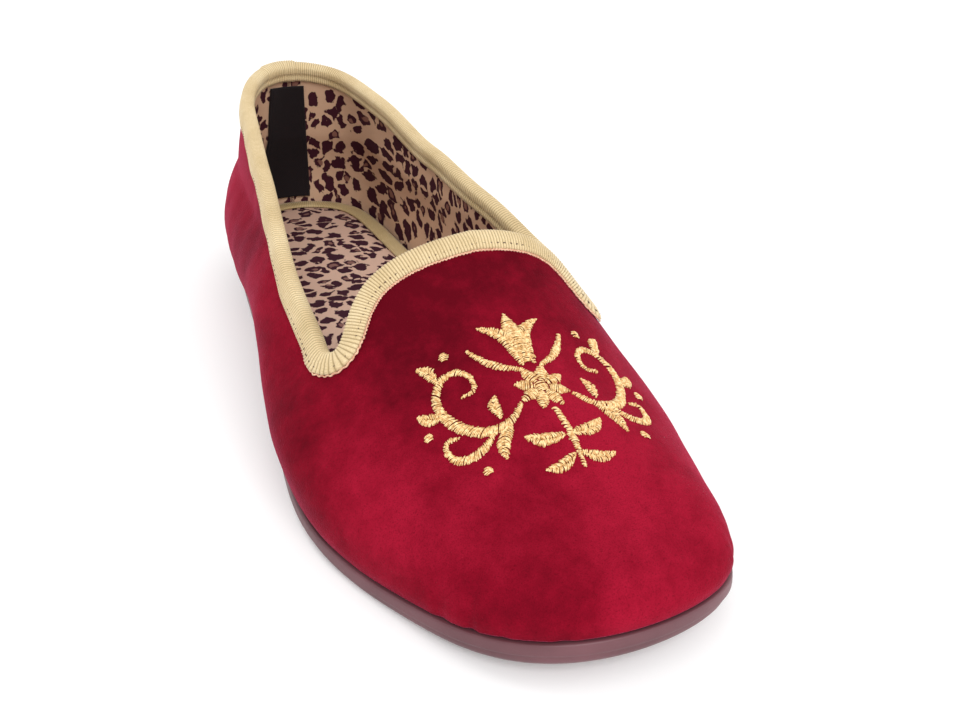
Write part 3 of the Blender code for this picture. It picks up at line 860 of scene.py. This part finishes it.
def make_upper():
    """Velvet outside, printed lining inside and the turned-in lower edge, as one closed body."""
    vertices = []
    faces = []
    count = 0
    for medial in (False, True):
        for turn, rise in fine_patches(150, 96, 34, 48):
            rows, columns = turn.shape
            angle = TAU - turn if medial else turn
            vertices.append(velvet_at(angle, rise).reshape(-1, 3))
            faces += grid_faces(rows, columns, count, flip=medial)
            count += rows * columns
    mesh = bpy.data.meshes.new("velvet_upper")
    mesh.from_pydata(np.vstack(vertices).tolist(), [], faces)
    piece = bpy.data.objects.new("velvet_upper", mesh)
    bpy.context.scene.collection.objects.link(piece)
    repair(piece, weld=1e-6, outward=False)
    wall = piece.modifiers.new("wall", "SOLIDIFY")
    wall.thickness = UPPER_WALL
    wall.offset = -1.0
    wall.use_even_offset = False
    wall.material_offset = 1
    wall.material_offset_rim = 0
    for material in (MATERIALS["velvet"], MATERIALS["lining"]):
        mesh.materials.append(material)
    solid = bpy.data.meshes.new_from_object(piece.evaluated_get(bpy.context.evaluated_depsgraph_get()))
    piece.modifiers.clear()
    piece.data = solid
    solid.name = "velvet_upper"
    unroll(solid)
    solid.shade_smooth()
    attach(piece, "root")
    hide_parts("upper")
    return piece


def unroll(mesh):
    """Cloth coordinates of a wall round the foot: metres along the sole's edge, and height above the sole."""
    turn = np.linspace(0.0, TAU, 1441)
    length = along_path(outline(turn))
    points = np.empty(3 * len(mesh.vertices))
    mesh.vertices.foreach_get("co", points)
    points = points.reshape(-1, 3) - SHIFT
    angle = np.arctan2(points[:, 0] + 1e-9, points[:, 1] / (0.5 * OUTSOLE_LENGTH) * 0.045)
    around = np.interp(np.mod(-angle, TAU), turn, length)
    lay_cloth(mesh, np.stack([around, points[:, 2]], axis=1))


# Ribbon over the topline


def topline(count):
    """Even turn and rise angles round the whole topline, from the back of the heel, and its length."""
    turn, rise, _ = edge_path(2401)
    outer, inner = along_path(last(turn, rise)), along_path(last(-turn, rise))
    total = outer[-1] + inner[-1]
    wanted = np.linspace(0.0, total, count, endpoint=False)
    on_outer = wanted <= outer[-1]
    back = total - wanted
    turns = np.where(on_outer, np.interp(wanted, outer, turn), TAU - np.interp(back, inner, turn))
    rises = np.where(on_outer, np.interp(wanted, outer, rise), np.interp(back, inner, rise))
    return turns, rises, total


def topline_rows(count, depths):
    """For each depth below the edge: points and outward normals all round. Also the way into the upper."""
    turn, rise, _ = topline(count)
    point, _, _, normal = frame_at(turn, rise)
    tangent = np.roll(point, -1, axis=0) - np.roll(point, 1, axis=0)
    into = np.cross(tangent, normal)
    into /= np.linalg.norm(into, axis=-1, keepdims=True)
    rows = []
    for depth in depths:
        there = walk(turn, rise, into, depth) if depth > 0.0 else (turn, rise)
        point, _, _, normal = frame_at(*there)
        rows.append((point, normal))
    return rows, into


def make_binding(length):
    """Folded ribbon over the edge, with a rib every RIB_PITCH, a fold line inside and a lap at the heel."""
    samples = 6
    count = int(round(length / RIB_PITCH)) * samples
    depths = np.linspace(BINDING_WIDTH, 0.0, 7)
    frames, into = topline_rows(count, depths)
    phase = np.arange(count) / samples * math.pi
    cord = RIB_DEPTH * (np.abs(np.sin(phase)) ** 0.7 - 0.6)
    place = np.arange(count) / count * length
    place = np.where(place > 0.5 * length, place - length, place)
    first, final = LAP_ENDS
    lap = LAP_RISE * np.clip((place - first) / 0.0008, 0.0, 1.0) * np.clip((final - place) / 0.0008, 0.0, 1.0)
    ripple = 0.00012 * np.sin(place * 190.0) + 0.00008 * np.sin(place * 411.0 + 1.0)
    outer = RIBBON_SKIN + cord + lap
    inner = UPPER_WALL + RIBBON_SKIN + 0.8 * cord + lap
    rings = []
    for (point, normal), depth in zip(frames, depths):
        share = depth / BINDING_WIDTH
        swell = RIBBON_SWELL * math.sin(math.pi * share) - (0.00025 if share > 0.99 else 0.0)
        stitched = -STITCH_DEPTH * bell(share, STITCH_SHARE, 0.10)
        rings.append(point + normal * (outer + swell + stitched + ripple * share)[:, None])
    point, normal = frames[-1]
    middle = 0.5 * (outer - inner)
    reach = 0.5 * (outer + inner)
    for angle in np.radians([18.0, 40.0, 63.0, 90.0, 117.0, 140.0, 162.0]):
        sideways = middle + reach * math.cos(angle)
        rings.append(point + normal * sideways[:, None] - into * (outer * math.sin(angle))[:, None])
    for (point, normal), depth in zip(frames[::-1], depths[::-1]):
        share = depth / BINDING_WIDTH
        fold = RIBBON_SWELL * math.sin(TAU * share) ** 2 - RIBBON_FOLD * bell(share, 0.5, 0.1)
        rings.append(point - normal * (inner + fold)[:, None])
    for level, order in ((-(UPPER_WALL + 0.5 * SOFT_GAP), (0, 3, 6)), (0.5 * SOFT_GAP, (6, 3, 0))):
        for row in order:
            point, normal = frames[row]
            rings.append(point + normal * level)
    span = along_path(np.array(rings)[:, 0])
    along = np.arange(count) / samples * RIB_PITCH
    piece = sweep("ribbon_binding", rings, along, span, MATERIALS["ribbon"])
    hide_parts("topline_binding")


def make_stitches(length):
    """Short machine stitches that sink into the ribbon."""
    count = int(length / STITCH_PITCH)
    fine = 6
    (row,), _ = topline_rows(count * fine, [BINDING_WIDTH * STITCH_SHARE])
    point, normal = row
    lift = RIBBON_SKIN - 0.00016 + STITCH_DEPTH * np.array([0.0, 1.0, 0.0])
    bits = Bits()
    for k in range(count):
        index = k * fine + np.arange(3)
        path = placed(point[index] + normal[index] * lift[:, None])
        bits.tube(path, STITCH_RADIUS, sides=4, side_way=normal[index[1]])
    bits.piece("binding_stitches", MATERIALS["stitch_thread"], "gold_ribbon")


def make_selvedge(length):
    """Fine scalloped thread along the ribbon's outer edge, lying on the velvet."""
    count = int(length / LOOP_PITCH)
    fine = 6
    rows, _ = topline_rows(count * fine, [BINDING_WIDTH, BINDING_WIDTH + LOOP_REACH])
    (near, normal), (far, far_normal) = rows
    rng = np.random.default_rng(11)
    index = np.arange(count * fine) % len(near)
    scallop = 0.5 - 0.5 * np.cos(TAU * np.arange(count * fine) / fine)
    share = (scallop * np.repeat(rng.uniform(0.6, 1.1, count), fine))[:, None]
    lift = np.repeat(rng.uniform(0.00024, 0.00036, count), fine)[:, None]
    path = near[index] * (1.0 - share) + far[index] * share
    path = placed(path + (normal[index] * (1.0 - share) + far_normal[index] * share) * lift)
    bits = Bits()
    bits.tube(path, LOOP_RADIUS, sides=5)
    bits.piece("binding_selvedge", MATERIALS["selvedge_thread"], "gold_ribbon")


# Insole, its band and the tape at the back


def ring_distance(points, ring):
    """Shortest distance in plan from each point to a closed ring."""
    step = np.roll(ring, -1, axis=0) - ring
    length = (step * step).sum(axis=1)
    best = np.full(len(points), 1.0)
    for first in range(0, len(points), 2000):
        block = points[first : first + 2000, None, :] - ring[None]
        along = np.clip((block * step).sum(-1) / length, 0.0, 1.0)
        gap = np.linalg.norm(block - along[..., None] * step, axis=-1)
        best[first : first + 2000] = gap.min(axis=1)
    return best


def plan_grid(inset, rows, columns, crowd=1.0):
    """Grid over the sole's plan, inset from its outline: rows from heel to toe, columns across."""
    turn = np.linspace(0.0, math.pi, rows + 1)
    left = outline(turn) - outward(turn) * inset
    right = outline(-turn) - outward(-turn) * inset
    across = np.linspace(-1.0, 1.0, columns + 1)
    across = 0.5 + 0.5 * np.sin(0.5 * math.pi * across * crowd) / math.sin(0.5 * math.pi * crowd)
    return left[:, None, :] * (1.0 - across)[None, :, None] + right[:, None, :] * across[None, :, None]


def slab(name, plan, top, bottom, material):
    """Closed body between two height fields over one plan grid."""
    rows, columns = plan.shape[:2]
    upper_face = np.concatenate([plan, top[..., None]], axis=-1).reshape(-1, 3)
    lower_face = np.concatenate([plan, bottom[..., None]], axis=-1).reshape(-1, 3)
    count = rows * columns
    faces = grid_faces(rows, columns) + grid_faces(rows, columns, count, flip=True)
    for row in range(rows - 1):
        for column in (0, columns - 1):
            a = row * columns + column
            b = a + columns
            faces.append((a, b, b + count, a + count))
    vertices = placed(np.vstack([upper_face, lower_face]))
    piece = add_mesh(name, vertices, faces, material, uv=vertices[:, :2])
    repair(piece, weld=1e-6)
    return piece


def make_insole():
    plan = plan_grid(INSOLE_INSET, 260, 64, crowd=0.9)
    flat = plan.reshape(-1, 2)
    turn = np.linspace(0.0, TAU, 361)[:-1]
    ring = outline(turn) - outward(turn) * INSOLE_INSET
    edge = ring_distance(flat, ring).reshape(plan.shape[:2])
    floor = sole_top(plan[..., 1]) + SEAT_GAP
    level = np.concatenate([plan, floor[..., None]], axis=-1)
    top = floor + INSOLE_THICKNESS
    top += INSOLE_CROWN * np.clip((edge - BAND_WIDTH) / 0.016, 0.0, 1.0) ** 0.6
    top += INSOLE_WAVE * wave(level, 0.034, 5) * np.clip(edge / 0.010, 0.0, 1.0)
    top -= INSOLE_SEAM * bell(edge, BAND_WIDTH, 0.0009)
    top -= 0.0011 * np.clip(1.0 - edge / 0.0012, 0.0, 1.0) ** 2
    piece = slab("printed_insole", plan, top, floor, MATERIALS["insole"])
    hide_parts("insole")


def make_insole_band():
    """Ribbed band folded over the insole's edge."""
    turn = np.linspace(0.0, TAU, 20001)
    length = along_path(outline(turn))
    samples = 4
    count = int(round(length[-1] / BAND_RIB_PITCH)) * samples
    turn = np.interp(np.arange(count) / count * length[-1], length, turn)
    cord = BAND_RIB_DEPTH * np.sin(np.arange(count) / samples * math.pi) ** 2
    base = outline(turn)
    way = outward(turn)
    share = np.array([0.0, 0.02, 0.12, 0.3, 0.5, 0.7, 0.88, 0.98, 1.0])
    rise = np.array([0.0, 0.5, 0.85, 1.0, 1.05, 1.0, 0.85, 0.5, 0.0])
    seat = INSOLE_THICKNESS + 2.0 * SEAT_GAP
    rings = []
    for across, up in zip(share, rise):
        ring = base - way * (INSOLE_INSET + across * BAND_WIDTH)
        high = sole_top(ring[:, 1]) + seat + BAND_THICKNESS * up + cord * min(up, 1.0)
        rings.append(np.concatenate([ring, high[:, None]], axis=1))
    back = (0.75, 0.25)
    for across in back:
        ring = base - way * (INSOLE_INSET + across * BAND_WIDTH)
        rings.append(np.concatenate([ring, (sole_top(ring[:, 1]) + seat)[:, None]], axis=1))
    along = np.arange(count) / samples * BAND_RIB_PITCH
    span = np.append(share, back) * BAND_WIDTH
    piece = sweep("insole_band", rings, along, span, MATERIALS["band"])
    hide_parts("insole_binding")


def make_heel_tape():
    low = INSOLE_THICKNESS + BAND_THICKNESS + 3.0 * SEAT_GAP
    high = COLLAR_RISE - BINDING_WIDTH - 2.0 * SEAT_GAP
    _, by_turn, _, _ = frame_at(np.array(0.0), rise_at(np.array(0.0), 0.5 * (low + high)))
    half_turn = 0.5 * TAPE_WIDTH / np.linalg.norm(by_turn)
    across = np.linspace(-1.0, 1.0, 49)
    up = np.linspace(0.0, 1.0, 97)
    turn = half_turn * across[None, :] + 0.0 * up[:, None]
    height = (low + (high - low) * up)[:, None] + 0.0 * turn
    point, _, _, normal = frame_at(turn, rise_at(turn, height))
    edge = np.clip((1.0 - np.abs(across)) / 0.07, 0.0, 1.0)[None, :]
    puff = 0.00018 * np.sin(height * 520.0) * (1.0 - edge) + 0.00010 * wave(point, 0.012, 8)
    seam = -0.00025 * bell(np.abs(across), 0.86, 0.03)[None, :]
    thick = TAPE_THICKNESS * (0.55 + 0.45 * np.sqrt(edge)) + puff + seam
    back = placed(point - normal * (UPPER_WALL + SOFT_GAP))
    front = placed(point - normal * (UPPER_WALL + SOFT_GAP + thick)[..., None])
    rows, columns = turn.shape
    size = rows * columns
    faces = grid_faces(rows, columns) + grid_faces(rows, columns, size, flip=True)
    rim = list(range(columns))
    rim += [row * columns + columns - 1 for row in range(1, rows)]
    rim += [(rows - 1) * columns + k for k in range(columns - 2, -1, -1)]
    rim += [row * columns for row in range(rows - 2, 0, -1)]
    for k, a in enumerate(rim):
        b = rim[(k + 1) % len(rim)]
        faces.append((b, a, a + size, b + size))
    flat = np.stack([TAPE_WIDTH * 0.5 * across[None, :] + 0.0 * turn, height], axis=-1).reshape(-1, 2)
    vertices = np.vstack([back.reshape(-1, 3), front.reshape(-1, 3)])
    uv = np.vstack([flat, flat])
    piece = add_mesh("seam_tape", vertices, faces, MATERIALS["tape"], uv=uv)
    repair(piece)
    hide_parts("heel_tape")


# Sole


def make_sole():
    """Moulded unit sole: rounded side with its step, and a tread of shallow waves underneath."""
    rows, columns = 300, 44
    turn = np.linspace(0.0, math.pi, rows + 1)
    loop = np.concatenate([turn, TAU - turn[-2:0:-1]])
    base = outline(loop)
    way = outward(loop)
    count = len(loop)
    rings = []
    for out, up in SOLE_EDGE:
        ring = base + way * (out * FOREPART_THICKNESS)
        high = sole_under(ring[:, 1]) * (1.0 - up) + sole_top(ring[:, 1]) * up
        rings.append(np.concatenate([ring, high[:, None]], axis=1))
    vertices = [np.vstack(rings)]
    faces = []
    k = np.arange(count)
    ahead = (k + 1) % count
    for i in range(len(rings) - 1):
        a = i * count
        faces += np.stack([a + k, a + count + k, a + count + ahead, a + ahead], axis=1).tolist()
    start = len(rings) * count
    for ring, tread in ((rings[0], False), (rings[-1], True)):
        left = ring[: rows + 1]
        right = np.vstack([ring[[0]], ring[: rows - 1 : -1]])
        across = np.linspace(0.0, 1.0, columns + 1)[None, :, None]
        cap = left[:, None, :] * (1.0 - across) + right[:, None, :] * across
        if tread:
            gap = ring_distance(cap[..., :2].reshape(-1, 2), ring[::4, :2]).reshape(cap.shape[:2])
            share = along_of(cap[..., 1])
            zigzag = cap[..., 1] + 0.0028 * np.abs(np.mod(cap[..., 0] / 0.012, 2.0) - 1.0)
            groove = np.clip(1.6 * np.cos(zigzag * (TAU / TREAD_PITCH)) - 0.7, 0.0, 0.9) / 0.9
            zone = np.clip((gap - 0.005) / 0.001, 0.0, 1.0)
            zone *= np.clip((np.abs(share - 0.44) - 0.12) / 0.01, 0.0, 1.0)
            cap[..., 2] += TREAD_DEPTH * groove * zone
        vertices.append(cap.reshape(-1, 3))
        faces += grid_faces(rows + 1, columns + 1, start)
        start += (rows + 1) * (columns + 1)
    piece = add_mesh("moulded_sole", placed(np.vstack(vertices)), faces, MATERIALS["rubber"])
    repair(piece, weld=2e-5)
    piece.data.set_sharp_from_angle(angle=math.radians(38.0))
    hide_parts("outsole")


# Embroidery on the vamp


class Drape:
    """Lays a flat drawing on the vamp, in metres measured over the velvet."""

    def __init__(self, shell):
        mesh = shell.data
        tree = BVHTree.FromPolygons([v.co for v in mesh.vertices], [tuple(f.vertices) for f in mesh.polygons])
        self.x = np.arange(-0.046, 0.0461, DRAPE_STEP) + SHIFT[0]
        self.y = np.arange(-0.116, -0.0299, DRAPE_STEP) + SHIFT[1]
        self.z = np.zeros((len(self.y), len(self.x)))
        for row, y in enumerate(self.y):
            for column, x in enumerate(self.x):
                hit = tree.ray_cast(Vector((x, y, 0.2)), Vector((0.0, 0.0, -1.0)))[0]
                self.z[row, column] = hit.z if hit else 0.0
        centre = SHIFT[0] + CREST_PLACE[0]
        ridge = np.array([self.height(centre, y) for y in self.y])
        steps = np.hypot(np.diff(self.y), np.diff(ridge))
        self.along = np.concatenate([[0.0], np.cumsum(steps)])
        self.along -= np.interp(SHIFT[1] + CREST_PLACE[1], self.y, self.along)
        middle = int(np.abs(self.x - centre).argmin())
        across = np.hypot(np.diff(self.x)[None, :], np.diff(self.z, axis=1))
        self.across = np.concatenate([np.zeros((len(self.y), 1)), np.cumsum(across, axis=1)], axis=1)
        self.across -= self.across[:, [middle]]

    def height(self, x, y):
        """Height of the velvet at a point in plan."""
        column = np.clip((x - self.x[0]) / DRAPE_STEP, 0.0, len(self.x) - 1.001)
        row = np.clip((y - self.y[0]) / DRAPE_STEP, 0.0, len(self.y) - 1.001)
        i, j = np.int64(row), np.int64(column)
        v, u = row - i, column - j
        low = self.z[i, j] * (1.0 - u) + self.z[i, j + 1] * u
        high = self.z[i + 1, j] * (1.0 - u) + self.z[i + 1, j + 1] * u
        return low * (1.0 - v) + high * v

    def lay(self, flat, lift):
        """Points in space of a flat drawing's points, lifted off the velvet."""
        flat = np.atleast_2d(flat)
        y = np.interp(flat[:, 1], self.along, self.y)
        row = np.clip((y - self.y[0]) / DRAPE_STEP, 0.0, len(self.y) - 1.001)
        i = np.int64(row)
        v = row - i
        x = np.empty(len(flat))
        for k in range(len(flat)):
            span = self.across[i[k]] * (1.0 - v[k]) + self.across[i[k] + 1] * v[k]
            x[k] = np.interp(flat[k, 0], span, self.x)
        z = self.height(x, y)
        step = 0.0012
        slope_x = (self.height(x + step, y) - self.height(x - step, y)) / (2.0 * step)
        slope_y = (self.height(x, y + step) - self.height(x, y - step)) / (2.0 * step)
        normal = np.stack([-slope_x, -slope_y, np.ones_like(z)], axis=1)
        normal /= np.linalg.norm(normal, axis=1)[:, None]
        return np.stack([x, y, z], axis=1) + normal * np.broadcast_to(lift, z.shape)[:, None], normal


def bend(points, count=48):
    """Smooth open curve through a few points, evenly spaced."""
    points = np.asarray(points, dtype=float)
    at = along_path(points)
    fine = np.linspace(0.0, at[-1], 8 * count)
    curve = np.stack([spline(fine, at, points[:, 0]), spline(fine, at, points[:, 1])], axis=1)
    length = along_path(curve)
    even = np.linspace(0.0, length[-1], count)
    return np.stack([np.interp(even, length, curve[:, 0]), np.interp(even, length, curve[:, 1])], axis=1)


class Needle:
    """Fills strokes, leaves and dots with satin stitches; sign -1 mirrors them to the other side."""

    def __init__(self, drape):
        self.drape = drape
        self.bits = Bits()
        self.rng = np.random.default_rng(21)

    def stitch(self, start, end, high):
        """One thread from edge to edge, arched over the padding below it."""
        start = start + self.rng.normal(0.0, THREAD_STRAY, 2)
        end = end + self.rng.normal(0.0, THREAD_STRAY, 2)
        share = np.linspace(0.0, 1.0, 5)
        flat = start[None] * (1.0 - share[:, None]) + end[None] * share[:, None]
        lift = 0.00005 + high * self.rng.uniform(0.82, 1.18) * np.sin(math.pi * share) ** 0.6
        path, normal = self.drape.lay(flat, lift)
        self.bits.tube(path, THREAD_RADIUS * self.rng.uniform(0.88, 1.1), sides=4, side_way=normal[2])

    def scaled(self, points, sign):
        """From the drawing's units to metres, on either side."""
        return np.asarray(points, dtype=float) * DESIGN_MM * np.array([sign, 1.0])

    def stroke(self, points, width, sign=1.0, lean=0.45):
        """Satin column along a smooth curve; width holds its widths from start to end."""
        path = bend(np.asarray(points, dtype=float) * DESIGN_MM) * np.array([sign, 1.0])
        at = along_path(path)
        count = max(3, int(at[-1] / THREAD_PITCH))
        wanted = np.linspace(0.0, at[-1], count)
        middle = np.stack([np.interp(wanted, at, path[:, 0]), np.interp(wanted, at, path[:, 1])], axis=1)
        tangent = np.gradient(middle, axis=0)
        tangent /= np.linalg.norm(tangent, axis=1)[:, None]
        side = np.stack([-tangent[:, 1], tangent[:, 0]], axis=1)
        share = np.linspace(0.0, 1.0, count)
        half = 0.5 * np.interp(share, np.linspace(0.0, 1.0, len(width)), np.array(width) * DESIGN_MM)
        for k in range(count):
            way = side[k] + lean * tangent[k]
            self.stitch(middle[k] - way * half[k], middle[k] + way * half[k], 0.25 * half[k] + 0.00022)

    def leaf(self, base, tip, width, curve=0.0, split=True, sign=1.0):
        """Pointed leaf: stitches slant from a middle vein to both edges, or run straight across."""
        base, tip = self.scaled([base, tip], sign)
        axis = tip - base
        length = np.linalg.norm(axis)
        axis /= length
        side = np.array([-axis[1], axis[0]])
        count = max(6, int(length / THREAD_PITCH))
        for k in range(count):
            share = (k + 0.5) / count
            vein = base + axis * (length * share) + side * (sign * curve * length * math.sin(math.pi * share))
            half = 0.5 * (width * DESIGN_MM) * math.sin(math.pi * share**0.8) ** 0.75
            if split:
                for turned in (-1.0, 1.0):
                    out = vein + side * (turned * half) + axis * (0.55 * half)
                    self.stitch(vein - side * turned * 0.00008, out, 0.30 * half + 0.00018)
            else:
                self.stitch(vein - side * half, vein + side * half, 0.28 * half + 0.0002)

    def dot(self, centre, radius, sign=1.0):
        centre = self.scaled(centre, sign)
        radius = radius * DESIGN_MM
        count = max(4, int(2.0 * radius / THREAD_PITCH))
        for k in range(count):
            up = radius * (2.0 * (k + 0.5) / count - 1.0)
            half = math.sqrt(max(radius**2 - up**2, 0.0)) + 0.0001
            self.stitch(centre + (-half, up), centre + (half, up), 0.35 * half)


def make_embroidery(shell):
    """Spray of flowers: a tulip over a small bloom, two curled tendrils with leaves on each side."""
    needle = Needle(Drape(shell))

    # Tulip at the top
    needle.leaf((0.0, 6.5), (0.0, 19.5), 4.6, split=False)
    for sign in (-1.0, 1.0):
        needle.leaf((1.2, 6.0), (6.8, 17.5), 3.0, curve=0.20, sign=sign)
        needle.stroke([(2.0, 5.2), (6.6, 8.0), (10.6, 13.6)], (0.7, 1.6, 0.5), sign=sign)

    # Bloom in the middle, with eight petals round a knot
    for k in range(8):
        angle = math.pi * (0.125 + 0.25 * k)
        way = np.array([math.cos(angle), math.sin(angle)])
        needle.leaf(way * 1.5, way * 5.6, 2.5, split=False)
    needle.dot((0.0, 0.0), 1.25)

    # Stem and the leaves at the foot
    needle.stroke([(0.0, -5.8), (0.6, -11.0), (0.0, -19.5)], (1.0, 1.4, 0.5))
    for sign in (-1.0, 1.0):
        for base, tip, width, curve in STEM_LEAVES:
            needle.leaf(base, tip, width, curve=curve, sign=sign)

    # Tendrils on both sides
    for sign in (1.0, -1.0):
        needle.stroke(TENDRIL, TENDRIL_WIDTH, sign=sign)
        needle.stroke(CURL, CURL_WIDTH, sign=sign)
        for base, tip, width, curve in TENDRIL_LEAVES:
            needle.leaf(base, tip, width, curve=curve, sign=sign)
        for spot in DOTS:
            needle.dot(spot, DOT_RADIUS, sign=sign)

    needle.bits.piece("floral_embroidery", MATERIALS["gold_thread"], "gold_ribbon")


# Stage


def make_floor():
    bpy.ops.mesh.primitive_plane_add(size=FLOOR_SIZE, location=(0.0, 0.0, 0.0))
    floor = bpy.context.object
    floor.name = "floor"
    n = Nodes("floor")
    n.set(Base_Color=(0.94, 0.94, 0.94, 1.0), Roughness=0.85, Specular_IOR_Level=0.1)
    n.set(Emission_Color=(*WHITE, 1.0), Emission_Strength=0.10)
    floor.data.materials.append(n.material)


def add_light(name, place, aim, size, power):
    data = bpy.data.lights.new(name, "AREA")
    data.shape = "RECTANGLE"
    data.size, data.size_y = size
    data.energy = power
    light = bpy.data.objects.new(name, data)
    light.location = place
    light.rotation_mode = "QUATERNION"
    light.rotation_quaternion = (Vector(aim) - Vector(place)).to_track_quat("-Z", "Y")
    bpy.context.scene.collection.objects.link(light)


def make_light():
    world = bpy.data.worlds.new("studio")
    bpy.context.scene.world = world
    world.use_nodes = True
    sky = world.node_tree.nodes["Background"]
    sky.inputs["Color"].default_value = (*WHITE, 1.0)
    sky.inputs["Strength"].default_value = SKY_STRENGTH
    for light in LIGHTS:
        add_light(*light)
    bpy.context.scene.view_settings.view_transform = "Standard"


def make_camera():
    """The photograph's viewpoint, aimed at the one shoe, with a longer lens."""
    tilt, turn, distance, aim_x, aim_y, roll = CAMERA_FIT
    tilt, turn = math.radians(tilt), math.radians(turn)
    back = np.array([math.sin(turn) * math.cos(tilt), -math.cos(turn) * math.cos(tilt), math.sin(tilt)])
    place = np.array([aim_x, aim_y, 0.0]) + back * distance + SHIFT
    data = bpy.data.cameras.new("camera")
    data.sensor_width = 36.0
    data.lens = LENS
    data.clip_start = 0.02
    data.clip_end = 20.0
    camera = bpy.data.objects.new("camera", data)
    camera.location = place
    camera.rotation_mode = "QUATERNION"
    look = (Vector(AIM) - Vector(place)).to_track_quat("-Z", "Y")
    camera.rotation_quaternion = look @ Matrix.Rotation(math.radians(roll), 3, "Z").to_quaternion()
    bpy.context.scene.collection.objects.link(camera)
    bpy.context.scene.camera = camera


# Putting it together

MATERIALS = {
    "velvet": velvet_material(),
    "lining": leopard_material("lining_cloth", (0.66, 0.43, 0.29), (0.052, 0.011, 0.020),
                               (0.26, 0.12, 0.09), 165.0),
    "insole": leopard_material("insole_cloth", (0.74, 0.50, 0.39), (0.055, 0.016, 0.028),
                               (0.28, 0.14, 0.12), 168.0),
    # The last colour of each ribbon is painted shade for the hollows between its ribs
    "ribbon": ribbon_material("gold_ribbon", RIB_PITCH, (0.72, 0.56, 0.32), (0.53, 0.39, 0.19),
                              (0.86, 0.73, 0.47), (0.24, 0.15, 0.05)),
    "band": ribbon_material("olive_ribbon", BAND_RIB_PITCH, (0.66, 0.50, 0.25), (0.46, 0.33, 0.14),
                            (0.80, 0.65, 0.38), (0.26, 0.17, 0.06)),
    "tape": tape_material(),
    "rubber": rubber_material(),
    "stitch_thread": thread_material("stitch_thread", (0.10, 0.06, 0.04), (0.20, 0.13, 0.07), 0.7),
    "selvedge_thread": thread_material("selvedge_thread", (0.66, 0.34, 0.22), (0.84, 0.55, 0.38), 0.8),
    "gold_thread": thread_material("gold_thread", (0.66, 0.37, 0.13), (1.0, 0.77, 0.40), 0.34),
}

make_sole()
velvet_upper = make_upper()
TOPLINE_LENGTH = topline(4)[2]
make_binding(TOPLINE_LENGTH)
make_stitches(TOPLINE_LENGTH)
make_selvedge(TOPLINE_LENGTH)
make_insole()
make_insole_band()
make_heel_tape()
make_embroidery(velvet_upper)
make_floor()
make_light()
make_camera()

bpy.context.view_layer.update()
